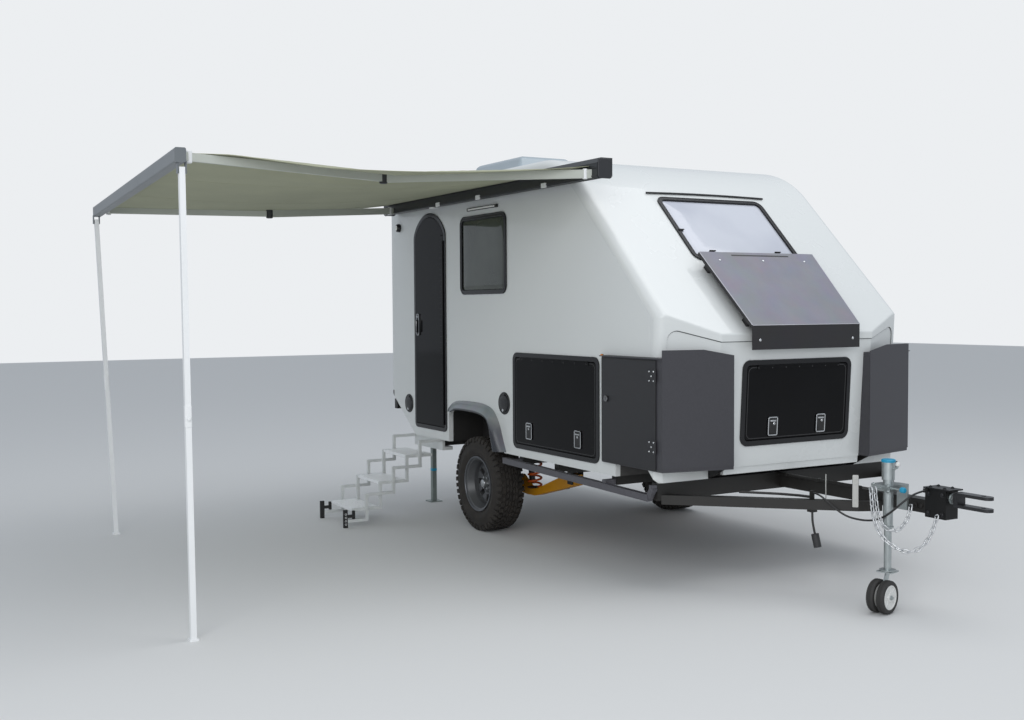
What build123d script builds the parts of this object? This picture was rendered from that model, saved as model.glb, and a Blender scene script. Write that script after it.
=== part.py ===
from build123d import *
import math
import os

# Off-road camper trailer with a hard body, a raked front and a folding-arm awning.
# Millimetres. The working frame has X forward, Y to the left and Z up, and its
# origin is on the ground below the axle. Each node is written with its origin
# moved to the pin of the coupling.

# Body shell
HALF_WIDTH = 1073
WALL = 40
BODY_BOTTOM = 690
ROOF_Z = 2905
REAR_X = -1680
CHAMFER_TOP_Z = 1065
CHAMFER_X = -1147
FOLD_X = 2592
FOLD_Z = 1646
NOSE_FOOT_X = 2537
NOSE_FLAT_HALF = 672
CORNER_X = 2440
ROOF_FRONT_R = 800
REAR_TOP_R = 150
EDGE_R = 70
FOLD_R = 20
PANEL_MARGIN = 80
FAR = 4000
ROOF_CORNER_X = FOLD_X - (ROOF_Z - FOLD_Z)
SLOPE_SUM = FOLD_X + FOLD_Z

# Nose panel, set back inside the moulding that wraps the front corners
PILLAR_W = 61
NOSE_PANEL_HALF = HALF_WIDTH - PILLAR_W
NOSE_SEAM_DROP = 48
NOSE_SEAM_RISE = 92
NOSE_SEAM_R = 60
NOSE_RECESS = 8
NOSE_SPLIT_X = 2330
LEDGE_RISE = 86
SKIRT_RECESS = 16
POCKET_X = 1980
SILL_SLANT = 84
SILL_CUT = 43

# Openings in the shell, each from low x or y to high, and low z to high
DOOR_X0 = -1130
DOOR_X1 = -510
DOOR_Z0 = 765
DOOR_HEAD_DROP = 256
DOOR_Z1 = ROOF_Z - DOOR_HEAD_DROP
DOOR_FOOT_R = 45
DOOR_HEAD_R = 90
DOOR_ARCH_RISE = 190
SIDE_WINDOW_X = 148
SIDE_WINDOW_DROP = 653
SIDE_WINDOW_Z = ROOF_Z - SIDE_WINDOW_DROP
SIDE_WINDOW_W = 768
SIDE_WINDOW_H = 637
WINDOW_CORNER_R = 70
SLOPE_WINDOW_W = 980
SLOPE_WINDOW_L = 660
SLOPE_WINDOW_AHEAD = 533
SLOPE_WINDOW_X = ROOF_CORNER_X + SLOPE_WINDOW_AHEAD
REAR_WINDOW_W = 900
REAR_WINDOW_H = 500
REAR_WINDOW_DROP = 755
REAR_WINDOW_Z = ROOF_Z - REAR_WINDOW_DROP
HATCH_X = 1210
HATCH_Z = 1117
HATCH_W = 1170
HATCH_H = 732
HATCH_CORNER_R = 60
NOSE_HATCH_W = 970
NOSE_HATCH_H = 566
NOSE_HATCH_Z = 1190

# Frames round the openings
FRAME_FACE = 34
FRAME_PROUD = 9
FRAME_LIP = 14
PANE = 6
GAP = 6

# Entrance door
LEAF_THICK = 34

# Corner lockers at the nose
LOCKER_X0 = 1860
LOCKER_Z0 = 780
LOCKER_Z1 = 1500
LOCKER_PROUD = 27
LOCKER_OUT = HALF_WIDTH + LOCKER_PROUD
LOCKER_IN = 608
LOCKER_CLEAR = 2
LOCKER_FRONT_OUTER_X = CORNER_X + 89
LOCKER_FRONT_INNER_X = FOLD_X + 39
LOCKER_SHEET = 6
LOCKER_PLATE_TOP = 1551
LOCKER_PLATE_TOP_INNER = 1512
LOCKER_PLATE_KINK_Y = 820
LOCKER_DOOR_X0 = 1868
LOCKER_DOOR_X1 = 2466
LOCKER_DOOR_Z0 = 788
LOCKER_DOOR_Z1 = 1484
LOCKER_RIM = 26
HINGE_R = 6
HINGE_STAND = 10

# Stone guard on the slope
GUARD_STAND = 84
GUARD_AHEAD = 240
GUARD_TOP_X = SLOPE_WINDOW_X + GUARD_AHEAD
GUARD_LENGTH = 694
GUARD_HALF_TOP = 516
GUARD_HALF_FOOT = 478
GUARD_SHEET = 4
GUARD_LIP = 158
GUARD_FLANGE = 22

# Wheels and running gear
TYRE_R = 387
TYRE_W = 248
RIM_SEAT_R = 208
RIM_LIP_R = 224
RIM_WELL_R = 176
RIM_WINDOWS = 8
RIM_WINDOW_R = 124
RIM_WINDOW_L = 58
RIM_WINDOW_W = 50
WHEEL_INSET = 124
WHEEL_Y = HALF_WIDTH - WHEEL_INSET
HUB_R = 62
STUB_R = 30
ARCH_DEPTH = 335
ARCH_SHEET = 8
FLARE_PROUD = 82
FLARE_SHEET = 8
ARM_PIVOT_X = 900
ARM_PIVOT_Z = 505
ARM_TO_WHEEL = 259
ARM_Y = WHEEL_Y - ARM_TO_WHEEL
ARM_W = 76
ARM_PIN_R = 14
SPRING_X = 300
SPRING_R = 62
SPRING_WIRE_R = 9
SPRING_TURNS = 5
DAMPER_X = 120
DAMPER_TOP = 660
PERCH = 20

# Chassis
RAIL_TO_ARM = 170
RAIL_Y = ARM_Y - RAIL_TO_ARM
RAIL_W = 50
CHASSIS_H = 110
RAIL_REAR_X = -1600
DAMPER_TO_RAIL = 88
DAMPER_Y = RAIL_Y + DAMPER_TO_RAIL
CHASSIS_Z0 = BODY_BOTTOM - CHASSIS_H
CROSS_W = 60
CROSS_END_INSET = 58
CROSS_END_Y = HALF_WIDTH - CROSS_END_INSET
BEAM_X = CORNER_X
BEAM_W = 60
BEAM_RISE = 10
RAIL_FRONT_X = BEAM_X - BEAM_W
DRAWBAR_ARM_W = 60
DRAWBAR_ARM_H = 60
DRAWBAR_ARM_DROP = 15
DRAWBAR_ARM_FOOT_Y = HALF_WIDTH - 33
DRAWBAR_ARM_TIP = (3277, 174)
SPINE_SIZE = 80
SPINE_Z = 640
SLIDER_PROUD = 20
SLIDER_Y = HALF_WIDTH + SLIDER_PROUD
SLIDER_SIZE = 44

# Coupling
COUPLER_X0 = 3676
COUPLER_X1 = 3824
COUPLER_HALF_Y = 52
COUPLER_Z0 = 583
COUPLER_Z1 = 752
COUPLING_Z = 705
COUPLING_PIN_X = 4040
FORK_TIP_X = 4098
FORK_GAP = 50
FORK_EAR = 18
FORK_HALF_Y = 34
FORK_PIN_R = 13
ROLL_SHAFT_R = 22

# Jack
JACK_X = 3505
JACK_Y = -170
JACK_TOP = 894
JACK_HEAD_R = 38
JACK_HEAD_Z = 790
JACK_OUTER_R = 29
JACK_OUTER_FOOT = 500
JACK_INNER_R = 22
JACK_FLANGE_Z = 246
JACK_WHEEL_R = 100
JACK_WHEEL_W = 50
JACK_WHEEL_GAP = 14
JACK_TRAIL = 62
JACK_TURN = 14
JACK_CAP_H = 18
JACK_CLAMP_Z = 740
JACK_CLAMP_H = 36
CHAIN_PEG_R = 4
CHAIN_WIRE = 9
CHAIN_PITCH = 34

# Awning
CASE_X0 = -1490
CASE_X1 = 1973
CASE_GAP = 15
CASE_DEPTH = 122
CASE_H = 141
CASE_TOP_DROP = 97
CASE_Y_IN = -(HALF_WIDTH + CASE_GAP)
CASE_Y_OUT = CASE_Y_IN - CASE_DEPTH
CASE_Z1 = ROOF_Z - CASE_TOP_DROP
CASE_Z0 = CASE_Z1 - CASE_H
LEAD_FRONT = (2000, CASE_Y_OUT - 2720, ROOF_Z - 249)
LEAD_REAR = (-1450, CASE_Y_OUT - 2520, ROOF_Z - 293)
LEAD_DEPTH = 62
LEAD_H = 80
CLOTH_X0 = -1410
CLOTH_X1 = 1885
CLOTH_THICK = 6
LEG_W = 32
LEG_INSET = 42
LEG_OFFSET = 12
LEG_PIN_R = 6
LEG_SIDE_GAP = 3
LEG_EAR = 6
LEG_FOOT_FRONT_Y = LEAD_FRONT[1] + 30
LEG_FOOT_REAR_Y = LEAD_REAR[1] + 90
CASE_BRACKETS_X = (-1300, -300, 700, 1380)
# Arms: x of the shoulder, the elbow and the wrist, then their drops below the roof
ARM_X = ((1900, 1350, 1945), (-1290, -940, -1290))
ARM_DROPS = ((199, 237, 250), (205, 301, 292))
ARM_SHOULDER_INSET = 12
ARM_ELBOW_REACH = (1250, 1260)
ARM_WRIST_INSET = (18, 8)

# Entry steps
STEP_X0 = -1235
STEP_X1 = -672
STEP_TUBE = 24
STEP_BEND_R = 7
STEP_RUN = 250
STEP_RISE = 208
STEP_TREAD = 232
STEP_CLEAR = 62
STEP_LENGTH = 790
STEP_TOP_Y = -(HALF_WIDTH + STEP_CLEAR)
STEP_TOP_Z = 556
STEP_END_Y = STEP_TOP_Y - STEP_LENGTH
STEP_MOUNT_Y = STEP_TOP_Y + 195

# Corner steadies
STEADY_X = -1515
STEADY_TO_RAIL = 195
STEADY_Y = RAIL_Y + STEADY_TO_RAIL
STEADY_SIZE = 42

# Roof unit
UNIT_X = -1050
UNIT_L = 1040
UNIT_W = 720
UNIT_H = 272

# Wheel arch
ARCH_POINTS = [(-478, 640), (-478, 929), (-392, 1018), (-258, 1044), (220, 1044), (384, 922), (492, 640)]
ARCH_CORNER_R = (0, 50, 60, 60, 60, 80, 0)

# Flare: x and z of each corner where it meets the wall, then at its lip
FLARE_ROOT = [
    (506, 560), (506, 701), (453, 800), (391, 942), (246, 1059), (-254, 1058), (-401, 1031), (-492, 974), (-492, 560)]
FLARE_LIP = [
    (440, 560), (440, 701), (408, 800), (377, 883), (297, 995), (-200, 1003), (-280, 975), (-330, 950), (-330, 560)]
FLARE_FRONT_Z = 701
FLARE_REAR_Z = 957

# Ledge and skirt
LEDGE_Z = BODY_BOTTOM + LEDGE_RISE
SKIRT_Z = BODY_BOTTOM + WALL

# Hinges and latches
DOOR_HINGE_W = 62
HINGE_END = 60
HATCH_HINGE_H = 22
HATCH_LATCH_DROP = 220
HATCH_HINGE_R = 4

# Safety chains: the points that each follows, from the jack's peg to its lower eye
CHAIN_PEGS = ((3476, -250, 740), (3792, -82, 604), (3600, -80, 638))
CHAIN_ROUTES = (
    [(3476, -284, 746), (3484, -285, 650), (3500, -282, 560), (3540, -272, 470), (3604, -248, 418), (3684, -206, 382),
     (3752, -154, 420), (3784, -106, 520), (3792, -84, 610)],
    [(3476, -250, 746), (3486, -250, 660), (3502, -248, 580), (3530, -236, 514), (3566, -200, 486), (3594, -150, 512),
     (3604, -104, 572), (3600, -82, 644)])

# Leads. Each has its points from end to end, and its diameter

STRAP_TOP = 790
STRAP_W = 38
STRAP_THICK = 6
LOOP_LEAD_D = 12
LOOP_LEAD = [
    (3068, -346, 667), (3118, -346, 664), (3156, -318, 624), (3203, -272, 566), (3270, -240, 530), (3400, -212, 527),
    (3515, -226, 566), (3600, -234, 622), (3652, -216, 676), (3676, -168, 716), (3684, -112, 733),
    (3688, -66, 738)]
PLUG_LEAD_D = 14
PLUG_LEAD = [(3066, -350, 548), (3066, -350, 500), (3072, -346, 455), (3081, -342, 412)]

# Ports and lamps: x and z on the right-hand side wall, and a port's radius
PORTS = ((480, 1080, 88), (-1271, 964, 84))
MARKER_SPOT = (1828, 1500)
PORCH_SPOT = (-1450, 2560)
STRIP_SPOT = (150, 2622)
TAIL_Y = 930
TAIL_Z = 1210

parts = {}


def block(x0, x1, y0, y1, z0, z1):
    """A box between two values of x, y and z."""
    return Pos((x0 + x1) / 2, (y0 + y1) / 2, (z0 + z1) / 2) * Box(x1 - x0, y1 - y0, z1 - z0)


def pair(shape):
    """A right-hand shape and its mirror image on the left, as separate solids."""
    return [shape, mirror(shape, about=Plane.XZ)]


def solids_of(shapes):
    """All solids of a list of shapes as one compound."""
    found = []
    for shape in shapes:
        found += shape.solids()
    return Compound(found) if len(found) > 1 else found[0]


def corner(face, x, z):
    """The vertex of an outline nearest to a point."""
    return face.vertices().sort_by_distance((x, z, 0))[0]


def side_prism(face, y0, y1):
    """The solid of an outline drawn in x and z, between two values of y."""
    return extrude(Plane.XZ.offset(-y0) * face, amount=y1 - y0, dir=(0, 1, 0))


def outline(points):
    """A flat face inside straight lines through the points."""
    return make_face(Polyline(*points, close=True))


def rod(start, end, radius):
    """A round bar between two points."""
    start = Vector(*start)
    end = Vector(*end)
    plane = Plane(origin=start, z_dir=end - start)
    return extrude(plane * Circle(radius), amount=(end - start).length)


def beam(start, end, width, height):
    """A bar between two points, width across it level and height upright."""
    start = Vector(*start)
    end = Vector(*end)
    along = end - start
    across = Vector(0, 0, 1).cross(along)
    plane = Plane(origin=start, x_dir=across, z_dir=along)
    return extrude(plane * Rectangle(width, height), amount=along.length)


def upright_plane(side):
    """The outer face of a side wall, with its own x forward and its own y up."""
    return Plane(origin=(0, side * HALF_WIDTH, 0), x_dir=(1, 0, 0), z_dir=(0, -1, 0))


def through_wall(face, side, depth=3 * WALL):
    """A cutter through a side wall, or a solid centred on its outer face."""
    return extrude(upright_plane(side) * face, amount=depth, both=True)


# Body shell

def body_profile(inset):
    """The side outline of the body, moved inwards."""
    face = outline([
        (REAR_X, CHAMFER_TOP_Z), (REAR_X, ROOF_Z), (ROOF_CORNER_X, ROOF_Z), (FOLD_X, FOLD_Z),
        (NOSE_FOOT_X, BODY_BOTTOM), (CHAMFER_X, BODY_BOTTOM)])
    face = fillet(corner(face, REAR_X, ROOF_Z), REAR_TOP_R)
    face = fillet(corner(face, ROOF_CORNER_X, ROOF_Z), ROOF_FRONT_R)
    if inset:
        face = offset(face, amount=-inset)
    return face


def nose_corner_plane(side, inset):
    """The raked plane of one front corner of the nose, its normal forward."""
    inner = Vector(FOLD_X, side * NOSE_FLAT_HALF, FOLD_Z)
    outer = Vector(CORNER_X, side * HALF_WIDTH, FOLD_Z)
    rake = Vector(NOSE_FOOT_X - FOLD_X, 0, BODY_BOTTOM - FOLD_Z)
    normal = (outer - inner).cross(rake).normalized()
    if normal.X < 0:
        normal = normal * -1
    return Plane(origin=inner - normal * inset, x_dir=outer - inner, z_dir=normal)


def body_block(inset):
    """The body as one solid, moved inwards by inset."""
    half = HALF_WIDTH - inset
    solid = side_prism(body_profile(inset), -half, half)
    for side in (-1, 1):
        cutter = Pos(0, 0, FAR / 2) * Box(2 * FAR, 2 * FAR, FAR)
        solid -= nose_corner_plane(side, inset) * cutter
    return solid


def rounded_body():
    """The outer body with its long edges rounded."""
    solid = body_block(0)
    long_edges = []
    for edge in solid.edges():
        size = edge.bounding_box()
        on_side = abs(edge.center().Y) > HALF_WIDTH - 1 and size.size.Y < 1
        upper = edge.center().Z > CHAMFER_TOP_Z or edge.center().X > NOSE_SPLIT_X
        if on_side and upper:
            long_edges.append(edge)
    solid = fillet(long_edges, EDGE_R)
    folds = []
    for edge in solid.edges():
        centre = edge.center()
        on_slope = abs(centre.X + centre.Z - SLOPE_SUM) < 3
        if on_slope and centre.Z < FOLD_Z + 200 and edge.length > 200 and edge.geom_type == GeomType.LINE:
            folds.append(edge)
    return fillet(folds, FOLD_R)


def wall_outline():
    """The flat part of a side wall, inside the rounded edges of the mouldings."""
    sum_in = SLOPE_SUM - PANEL_MARGIN * math.sqrt(2)
    roof_in = ROOF_Z - PANEL_MARGIN
    front_in = CORNER_X - PANEL_MARGIN
    return fillet_two(outline([
        (REAR_X + PANEL_MARGIN, roof_in), (sum_in - roof_in, roof_in), (front_in, sum_in - front_in),
        (front_in, BODY_BOTTOM), (CHAMFER_X, BODY_BOTTOM),
        (REAR_X + PANEL_MARGIN, chamfer_z(REAR_X + PANEL_MARGIN))]),
        ((REAR_X + PANEL_MARGIN, roof_in), REAR_TOP_R - PANEL_MARGIN),
        ((sum_in - roof_in, roof_in), ROOF_FRONT_R - PANEL_MARGIN))


def fillet_two(face, *rounds):
    """An outline with the named corners rounded."""
    for (x, z), radius in rounds:
        face = fillet(corner(face, x, z), radius)
    return face


def chamfer_z(x):
    """Height of the raised rear underside at x."""
    slope = (CHAMFER_TOP_Z - BODY_BOTTOM) / (CHAMFER_X - REAR_X)
    return BODY_BOTTOM + slope * (CHAMFER_X - x)


# Outlines of the openings, in x and z of the side walls

def door_outline(inset):
    """The door opening with its arched head, moved inwards."""
    spring = DOOR_Z1 - DOOR_ARCH_RISE
    middle = (DOOR_X0 + DOOR_X1) / 2
    sides = Polyline((DOOR_X0, spring), (DOOR_X0, DOOR_Z0), (DOOR_X1, DOOR_Z0), (DOOR_X1, spring))
    head = ThreePointArc((DOOR_X1, spring), (middle, DOOR_Z1), (DOOR_X0, spring))
    face = make_face(sides + head)
    for x in (DOOR_X0, DOOR_X1):
        face = fillet(corner(face, x, DOOR_Z0), DOOR_FOOT_R)
        face = fillet(corner(face, x, spring), DOOR_HEAD_R)
    if inset:
        face = offset(face, amount=-inset)
    return face


def window_outline(inset):
    """The side window, moved inwards."""
    shape = RectangleRounded(
        SIDE_WINDOW_W - 2 * inset, SIDE_WINDOW_H - 2 * inset, WINDOW_CORNER_R - inset)
    return Pos(SIDE_WINDOW_X, SIDE_WINDOW_Z) * shape


def hatch_outline(inset):
    """The side hatch, moved inwards."""
    shape = RectangleRounded(HATCH_W - 2 * inset, HATCH_H - 2 * inset, HATCH_CORNER_R - inset)
    return Pos(HATCH_X, HATCH_Z) * shape


# Wheel arch: x and z of each corner, and its radius


def arch_outline(inset):
    """The wheel arch, open below, moved inwards."""
    face = outline(ARCH_POINTS)
    for (x, z), radius in zip(ARCH_POINTS, ARCH_CORNER_R):
        if radius:
            face = fillet(corner(face, x, z), radius)
    if inset:
        face = offset(face, amount=-inset)
    return face


def slope_plane(x, lift=0):
    """A plane on the slope at x, its own x to the left and its own y up the slope."""
    normal = Vector(1, 0, 1).normalized()
    return Plane(origin=Vector(x, 0, SLOPE_SUM - x) + normal * lift, x_dir=(0, 1, 0), z_dir=normal)


def nose_plane(z, lift=0):
    """A plane on the nose at height z, its own x to the left and its own y up."""
    lean = (FOLD_X - NOSE_FOOT_X) / (FOLD_Z - BODY_BOTTOM)
    normal = Vector(1, 0, -lean).normalized()
    x = NOSE_FOOT_X + lean * (z - BODY_BOTTOM)
    return Plane(origin=Vector(x, 0, z) + normal * lift, x_dir=(0, 1, 0), z_dir=normal)


def rear_plane(z):
    """A plane on the rear wall at height z, its own x to the right and its own y up."""
    return Plane(origin=(REAR_X, 0, z), x_dir=(0, -1, 0), z_dir=(-1, 0, 0))


def slope_window(inset):
    return RectangleRounded(
        SLOPE_WINDOW_W - 2 * inset, SLOPE_WINDOW_L - 2 * inset, WINDOW_CORNER_R - inset)


def nose_hatch(inset):
    return RectangleRounded(
        NOSE_HATCH_W - 2 * inset, NOSE_HATCH_H - 2 * inset, HATCH_CORNER_R - inset)


def rear_window(inset):
    return RectangleRounded(
        REAR_WINDOW_W - 2 * inset, REAR_WINDOW_H - 2 * inset, WINDOW_CORNER_R - inset)


def locker_envelope(side, grow):
    """The space of one corner locker in plan, upright, with some clearance round it."""
    face = outline([
        (LOCKER_X0 - grow, side * (LOCKER_IN - grow)), (LOCKER_X0 - grow, side * (LOCKER_OUT + grow)),
        (LOCKER_FRONT_OUTER_X + grow, side * (LOCKER_OUT + grow)),
        (LOCKER_FRONT_INNER_X + grow, side * (LOCKER_IN - grow))])
    base = Pos(0, 0, LOCKER_Z0 - grow) * face
    return extrude(base, amount=LOCKER_Z1 - LOCKER_Z0 + 2 * grow, dir=(0, 0, 1))


def nose_seam():
    """The outline of the nose panel, seen from the front."""
    middle_z = FOLD_Z - NOSE_SEAM_DROP
    edge_z = middle_z + NOSE_SEAM_RISE
    half = NOSE_PANEL_HALF
    face = outline([
        (-half, LEDGE_Z), (-half, edge_z), (-NOSE_FLAT_HALF, middle_z),
        (NOSE_FLAT_HALF, middle_z), (half, edge_z), (half, LEDGE_Z)])
    for y in (-half, half):
        face = fillet(corner(face, y, edge_z), NOSE_SEAM_R)
    return face


def make_shell():
    """The wall, roof, nose, rear and floor panels."""
    inner_body = body_block(WALL)
    band = rounded_body() - inner_body
    flat = wall_outline()
    for side in (-1, 1):
        y0 = side * (HALF_WIDTH - WALL)
        band -= side_prism(flat, min(y0, side * 2 * HALF_WIDTH), max(y0, side * 2 * HALF_WIDTH))
    sections = (("right", -1), ("left", 1))
    lockers = [locker_envelope(side, LOCKER_CLEAR) for name, side in sections]
    pocket_top = LOCKER_Z0 - LOCKER_CLEAR
    pocket = block(POCKET_X, FAR, -FAR, FAR, 0, pocket_top)
    arches = []
    for name, side in sections:
        inner = side * (HALF_WIDTH - ARCH_DEPTH)
        outer = side * 2 * HALF_WIDTH
        arches.append(side_prism(arch_outline(0), min(inner, outer), max(inner, outer)))
    for name, side in sections:
        outer = side * HALF_WIDTH
        inner = side * (HALF_WIDTH - WALL)
        wall = side_prism(flat, min(inner, outer), max(inner, outer))
        wall -= through_wall(window_outline(FRAME_LIP), side)
        wall -= through_wall(hatch_outline(FRAME_LIP), side)
        if side < 0:
            wall -= through_wall(door_outline(FRAME_LIP), side)
        wall = wall - lockers[0] - lockers[1] - arches[0] - arches[1] - pocket
        parts["side_wall_" + name] = wall
    seam_zone = extrude(Plane.YZ.offset(NOSE_SPLIT_X) * nose_seam(), amount=FAR)
    nose = (body_block(NOSE_RECESS) - inner_body) & seam_zone
    skirt_half = LOCKER_IN - LOCKER_CLEAR
    skirt_zone = block(NOSE_SPLIT_X, FAR, -skirt_half, skirt_half, SKIRT_Z, LEDGE_Z)
    skirt = (body_block(SKIRT_RECESS) - inner_body) & skirt_zone
    nose = nose + skirt - lockers[0] - lockers[1]
    for side in (-1, 1):
        y0 = side * skirt_half
        nose -= block(0, FAR, min(y0, side * FAR), max(y0, side * FAR), 0, pocket_top)
    nose -= extrude(nose_plane(NOSE_HATCH_Z) * nose_hatch(FRAME_LIP), amount=3 * WALL, both=True)
    parts["nose_panel"] = nose
    below = BODY_BOTTOM - 10
    above = BODY_BOTTOM + 2 * WALL
    floor_zone = side_prism(outline([
        (REAR_X - 10, below), (POCKET_X, below), (POCKET_X, above), (CHAMFER_X + 2 * WALL, above),
        (REAR_X + PANEL_MARGIN, CHAMFER_TOP_Z), (REAR_X - 10, CHAMFER_TOP_Z)]), -FAR, FAR)
    rear_zone = block(REAR_X - 10, REAR_X + PANEL_MARGIN, -FAR, FAR, CHAMFER_TOP_Z, ROOF_Z - REAR_TOP_R)
    rest = band - seam_zone - pocket
    floor = rest & floor_zone
    rest = rest - floor_zone
    rear = rest & rear_zone
    roof = rest - rear_zone - lockers[0] - lockers[1]
    floor = floor - arches[0] - arches[1]
    rear -= extrude(rear_plane(REAR_WINDOW_Z) * rear_window(FRAME_LIP), amount=3 * WALL, both=True)
    roof -= extrude(slope_plane(SLOPE_WINDOW_X) * slope_window(FRAME_LIP), amount=3 * WALL, both=True)
    wing_half = HALF_WIDTH - WALL
    floor += block(POCKET_X - WALL, POCKET_X, -wing_half, wing_half, BODY_BOTTOM, pocket_top)
    floor += block(POCKET_X - WALL, RAIL_FRONT_X, -skirt_half, skirt_half, BODY_BOTTOM, pocket_top)
    shelf = block(RAIL_FRONT_X - WALL, FAR, -skirt_half, skirt_half, SKIRT_Z, SKIRT_Z + WALL)
    floor += shelf & body_block(WALL)
    room = skirt_half - WALL
    floor -= block(
        POCKET_X - 2 * WALL, RAIL_FRONT_X - WALL, -room, room, BODY_BOTTOM + WALL, pocket_top + WALL)
    parts["floor_panel"] = floor
    parts["rear_wall"] = rear
    parts["roof_front_moulding"] = roof
    sill_z = BODY_BOTTOM + BEAM_RISE
    sill = side_prism(outline([
        (BEAM_X, sill_z), (BEAM_X, LOCKER_Z0), (BEAM_X - SILL_SLANT - 20, LOCKER_Z0), (BEAM_X - 20, sill_z)]),
        -HALF_WIDTH, -LOCKER_IN - WALL - 12)
    mitre = outline([
        (BEAM_X - SILL_CUT, -HALF_WIDTH - 1), (BEAM_X + 1, -HALF_WIDTH - 1), (BEAM_X + 1, SILL_CUT - HALF_WIDTH)])
    sill -= extrude(mitre, amount=FAR, dir=(0, 0, 1))
    parts["locker_sills"] = solids_of(pair(sill))
    liners = []
    for name, side in sections:
        back = side * (HALF_WIDTH - ARCH_DEPTH)
        front = side * (HALF_WIDTH - WALL - 1)
        liner = side_prism(arch_outline(0), min(back, front), max(back, front))
        cavity_back = side * (HALF_WIDTH - ARCH_DEPTH + ARCH_SHEET)
        far = side * 2 * HALF_WIDTH
        cavity = side_prism(arch_outline(ARCH_SHEET), min(cavity_back, far), max(cavity_back, far))
        liner = liner - cavity - block(-FAR, FAR, -FAR, FAR, -FAR, BODY_BOTTOM)
        liners.append(liner)
    parts["wheel_arch_liners"] = solids_of(liners)


def hinge_rod(plane, x0, x1, y, lift, radius=HINGE_R):
    """A round knuckle along a panel's own x, standing off its plane."""
    return rod(plane.from_local_coords(Vector(x0, y, lift)), plane.from_local_coords(Vector(x1, y, lift)), radius)


def frame_ring(plane, outer, inner, proud, depth):
    """A ring frame: a face ring on the wall and a tube through the opening."""
    face_ring = extrude(plane * (outer(0) - inner(FRAME_FACE)), amount=proud)
    tube = extrude(plane * (inner(FRAME_LIP + 0.5) - inner(FRAME_FACE)), amount=-depth)
    return face_ring + tube


def make_frames():
    """Window frames with their panes, hatch frames and the door frame."""
    right = upright_plane(-1)
    windows = []
    panes = []
    slots = (
        (right, window_outline, False),
        (right, window_outline, True),
        (slope_plane(SLOPE_WINDOW_X), slope_window, False),
        (rear_plane(REAR_WINDOW_Z), rear_window, False))
    for plane, shape, mirrored in slots:
        frame = frame_ring(plane, shape, shape, FRAME_PROUD, WALL)
        pane = extrude(plane.offset(-WALL / 4) * shape(FRAME_FACE), amount=PANE)
        if mirrored:
            frame = mirror(frame, about=Plane.XZ)
            pane = mirror(pane, about=Plane.XZ)
        windows.append(frame)
        panes.append(pane)
    parts["window_frames"] = solids_of(windows)
    parts["window_panes"] = solids_of(panes)
    hatch = frame_ring(right, hatch_outline, hatch_outline, FRAME_PROUD, WALL)
    nose = frame_ring(
        nose_plane(NOSE_HATCH_Z, -NOSE_RECESS), nose_hatch, nose_hatch, FRAME_PROUD, WALL - NOSE_RECESS)
    parts["hatch_frames"] = solids_of(pair(hatch) + [nose])
    parts["door_frame"] = frame_ring(right, door_outline, door_outline, FRAME_PROUD, WALL)


def make_door():
    """The dark full-height leaf, its hinge strip with a long knuckle, and its handle."""
    right = upright_plane(-1)
    inner = FRAME_FACE + GAP
    leaf = extrude(right * door_outline(inner), amount=FRAME_PROUD)
    leaf += extrude(right * door_outline(inner), amount=-(LEAF_THICK - FRAME_PROUD))
    spring = DOOR_Z1 - DOOR_ARCH_RISE
    edge = DOOR_X1 - inner
    strip_h = spring - DOOR_Z0 - 2 * HINGE_END
    middle_z = (spring + DOOR_Z0) / 2
    strip = Pos(edge - DOOR_HINGE_W / 2, middle_z) * Rectangle(DOOR_HINGE_W, strip_h)
    leaf += extrude(right.offset(FRAME_PROUD - 1) * strip, amount=5)
    axis_x = edge + GAP / 2
    axis_lift = FRAME_PROUD + HINGE_R + 0.5
    leaf += rod(
        (axis_x, -HALF_WIDTH - axis_lift, middle_z - strip_h / 2),
        (axis_x, -HALF_WIDTH - axis_lift, middle_z + strip_h / 2), HINGE_R)
    leaf += block(
        edge - 12, axis_x, -HALF_WIDTH - axis_lift - 2, -HALF_WIDTH - FRAME_PROUD - 1,
        middle_z - strip_h / 2, middle_z + strip_h / 2)
    handle_x = DOOR_X0 + inner + 48
    handle_z = 1680
    leaf += extrude(right * Pos(handle_x, handle_z) * RectangleRounded(52, 190, 14), amount=FRAME_PROUD + 8)
    grip = Pos(handle_x, handle_z - 15) * RectangleRounded(30, 110, 12)
    leaf += extrude(right.offset(FRAME_PROUD + 8) * grip, amount=22)
    parts["entrance_door"] = leaf


def hatch_panel(plane, shape, centre, size, latch_x, latch_y):
    """A dark hatch panel with its top hinge and two paddle latches near its foot."""
    inner = FRAME_FACE + GAP
    face = FRAME_PROUD - 2
    panel = extrude(plane * shape(inner), amount=face)
    panel += extrude(plane * shape(inner), amount=-16)
    for x in latch_x:
        panel += extrude(plane * Pos(x, latch_y) * RectangleRounded(84, 126, 12), amount=FRAME_PROUD + 5)
    width, height = size
    half = width / 2 - 3 * inner
    top = centre[1] + height / 2 - inner
    strip = Pos(centre[0], top - HATCH_HINGE_H / 2 + 2) * Rectangle(2 * half, HATCH_HINGE_H + 4)
    panel += extrude(plane.offset(face - 1) * strip, amount=5 + 1)
    panel += hinge_rod(plane, centre[0] - half, centre[0] + half, top + GAP / 2, FRAME_PROUD + HATCH_HINGE_R + 0.5,
                       HATCH_HINGE_R)
    return panel


def make_hatches():
    """The two side hatches and the nose hatch."""
    panel = hatch_panel(
        upright_plane(-1), hatch_outline, (HATCH_X, HATCH_Z), (HATCH_W, HATCH_H),
        (HATCH_X - 340, HATCH_X + 318), HATCH_Z - HATCH_LATCH_DROP)
    parts["side_hatch_right"] = panel
    parts["side_hatch_left"] = mirror(panel, about=Plane.XZ)
    parts["nose_hatch"] = hatch_panel(
        nose_plane(NOSE_HATCH_Z, -NOSE_RECESS), nose_hatch, (0, 0), (NOSE_HATCH_W, NOSE_HATCH_H), (-215, 215), -160)


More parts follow.
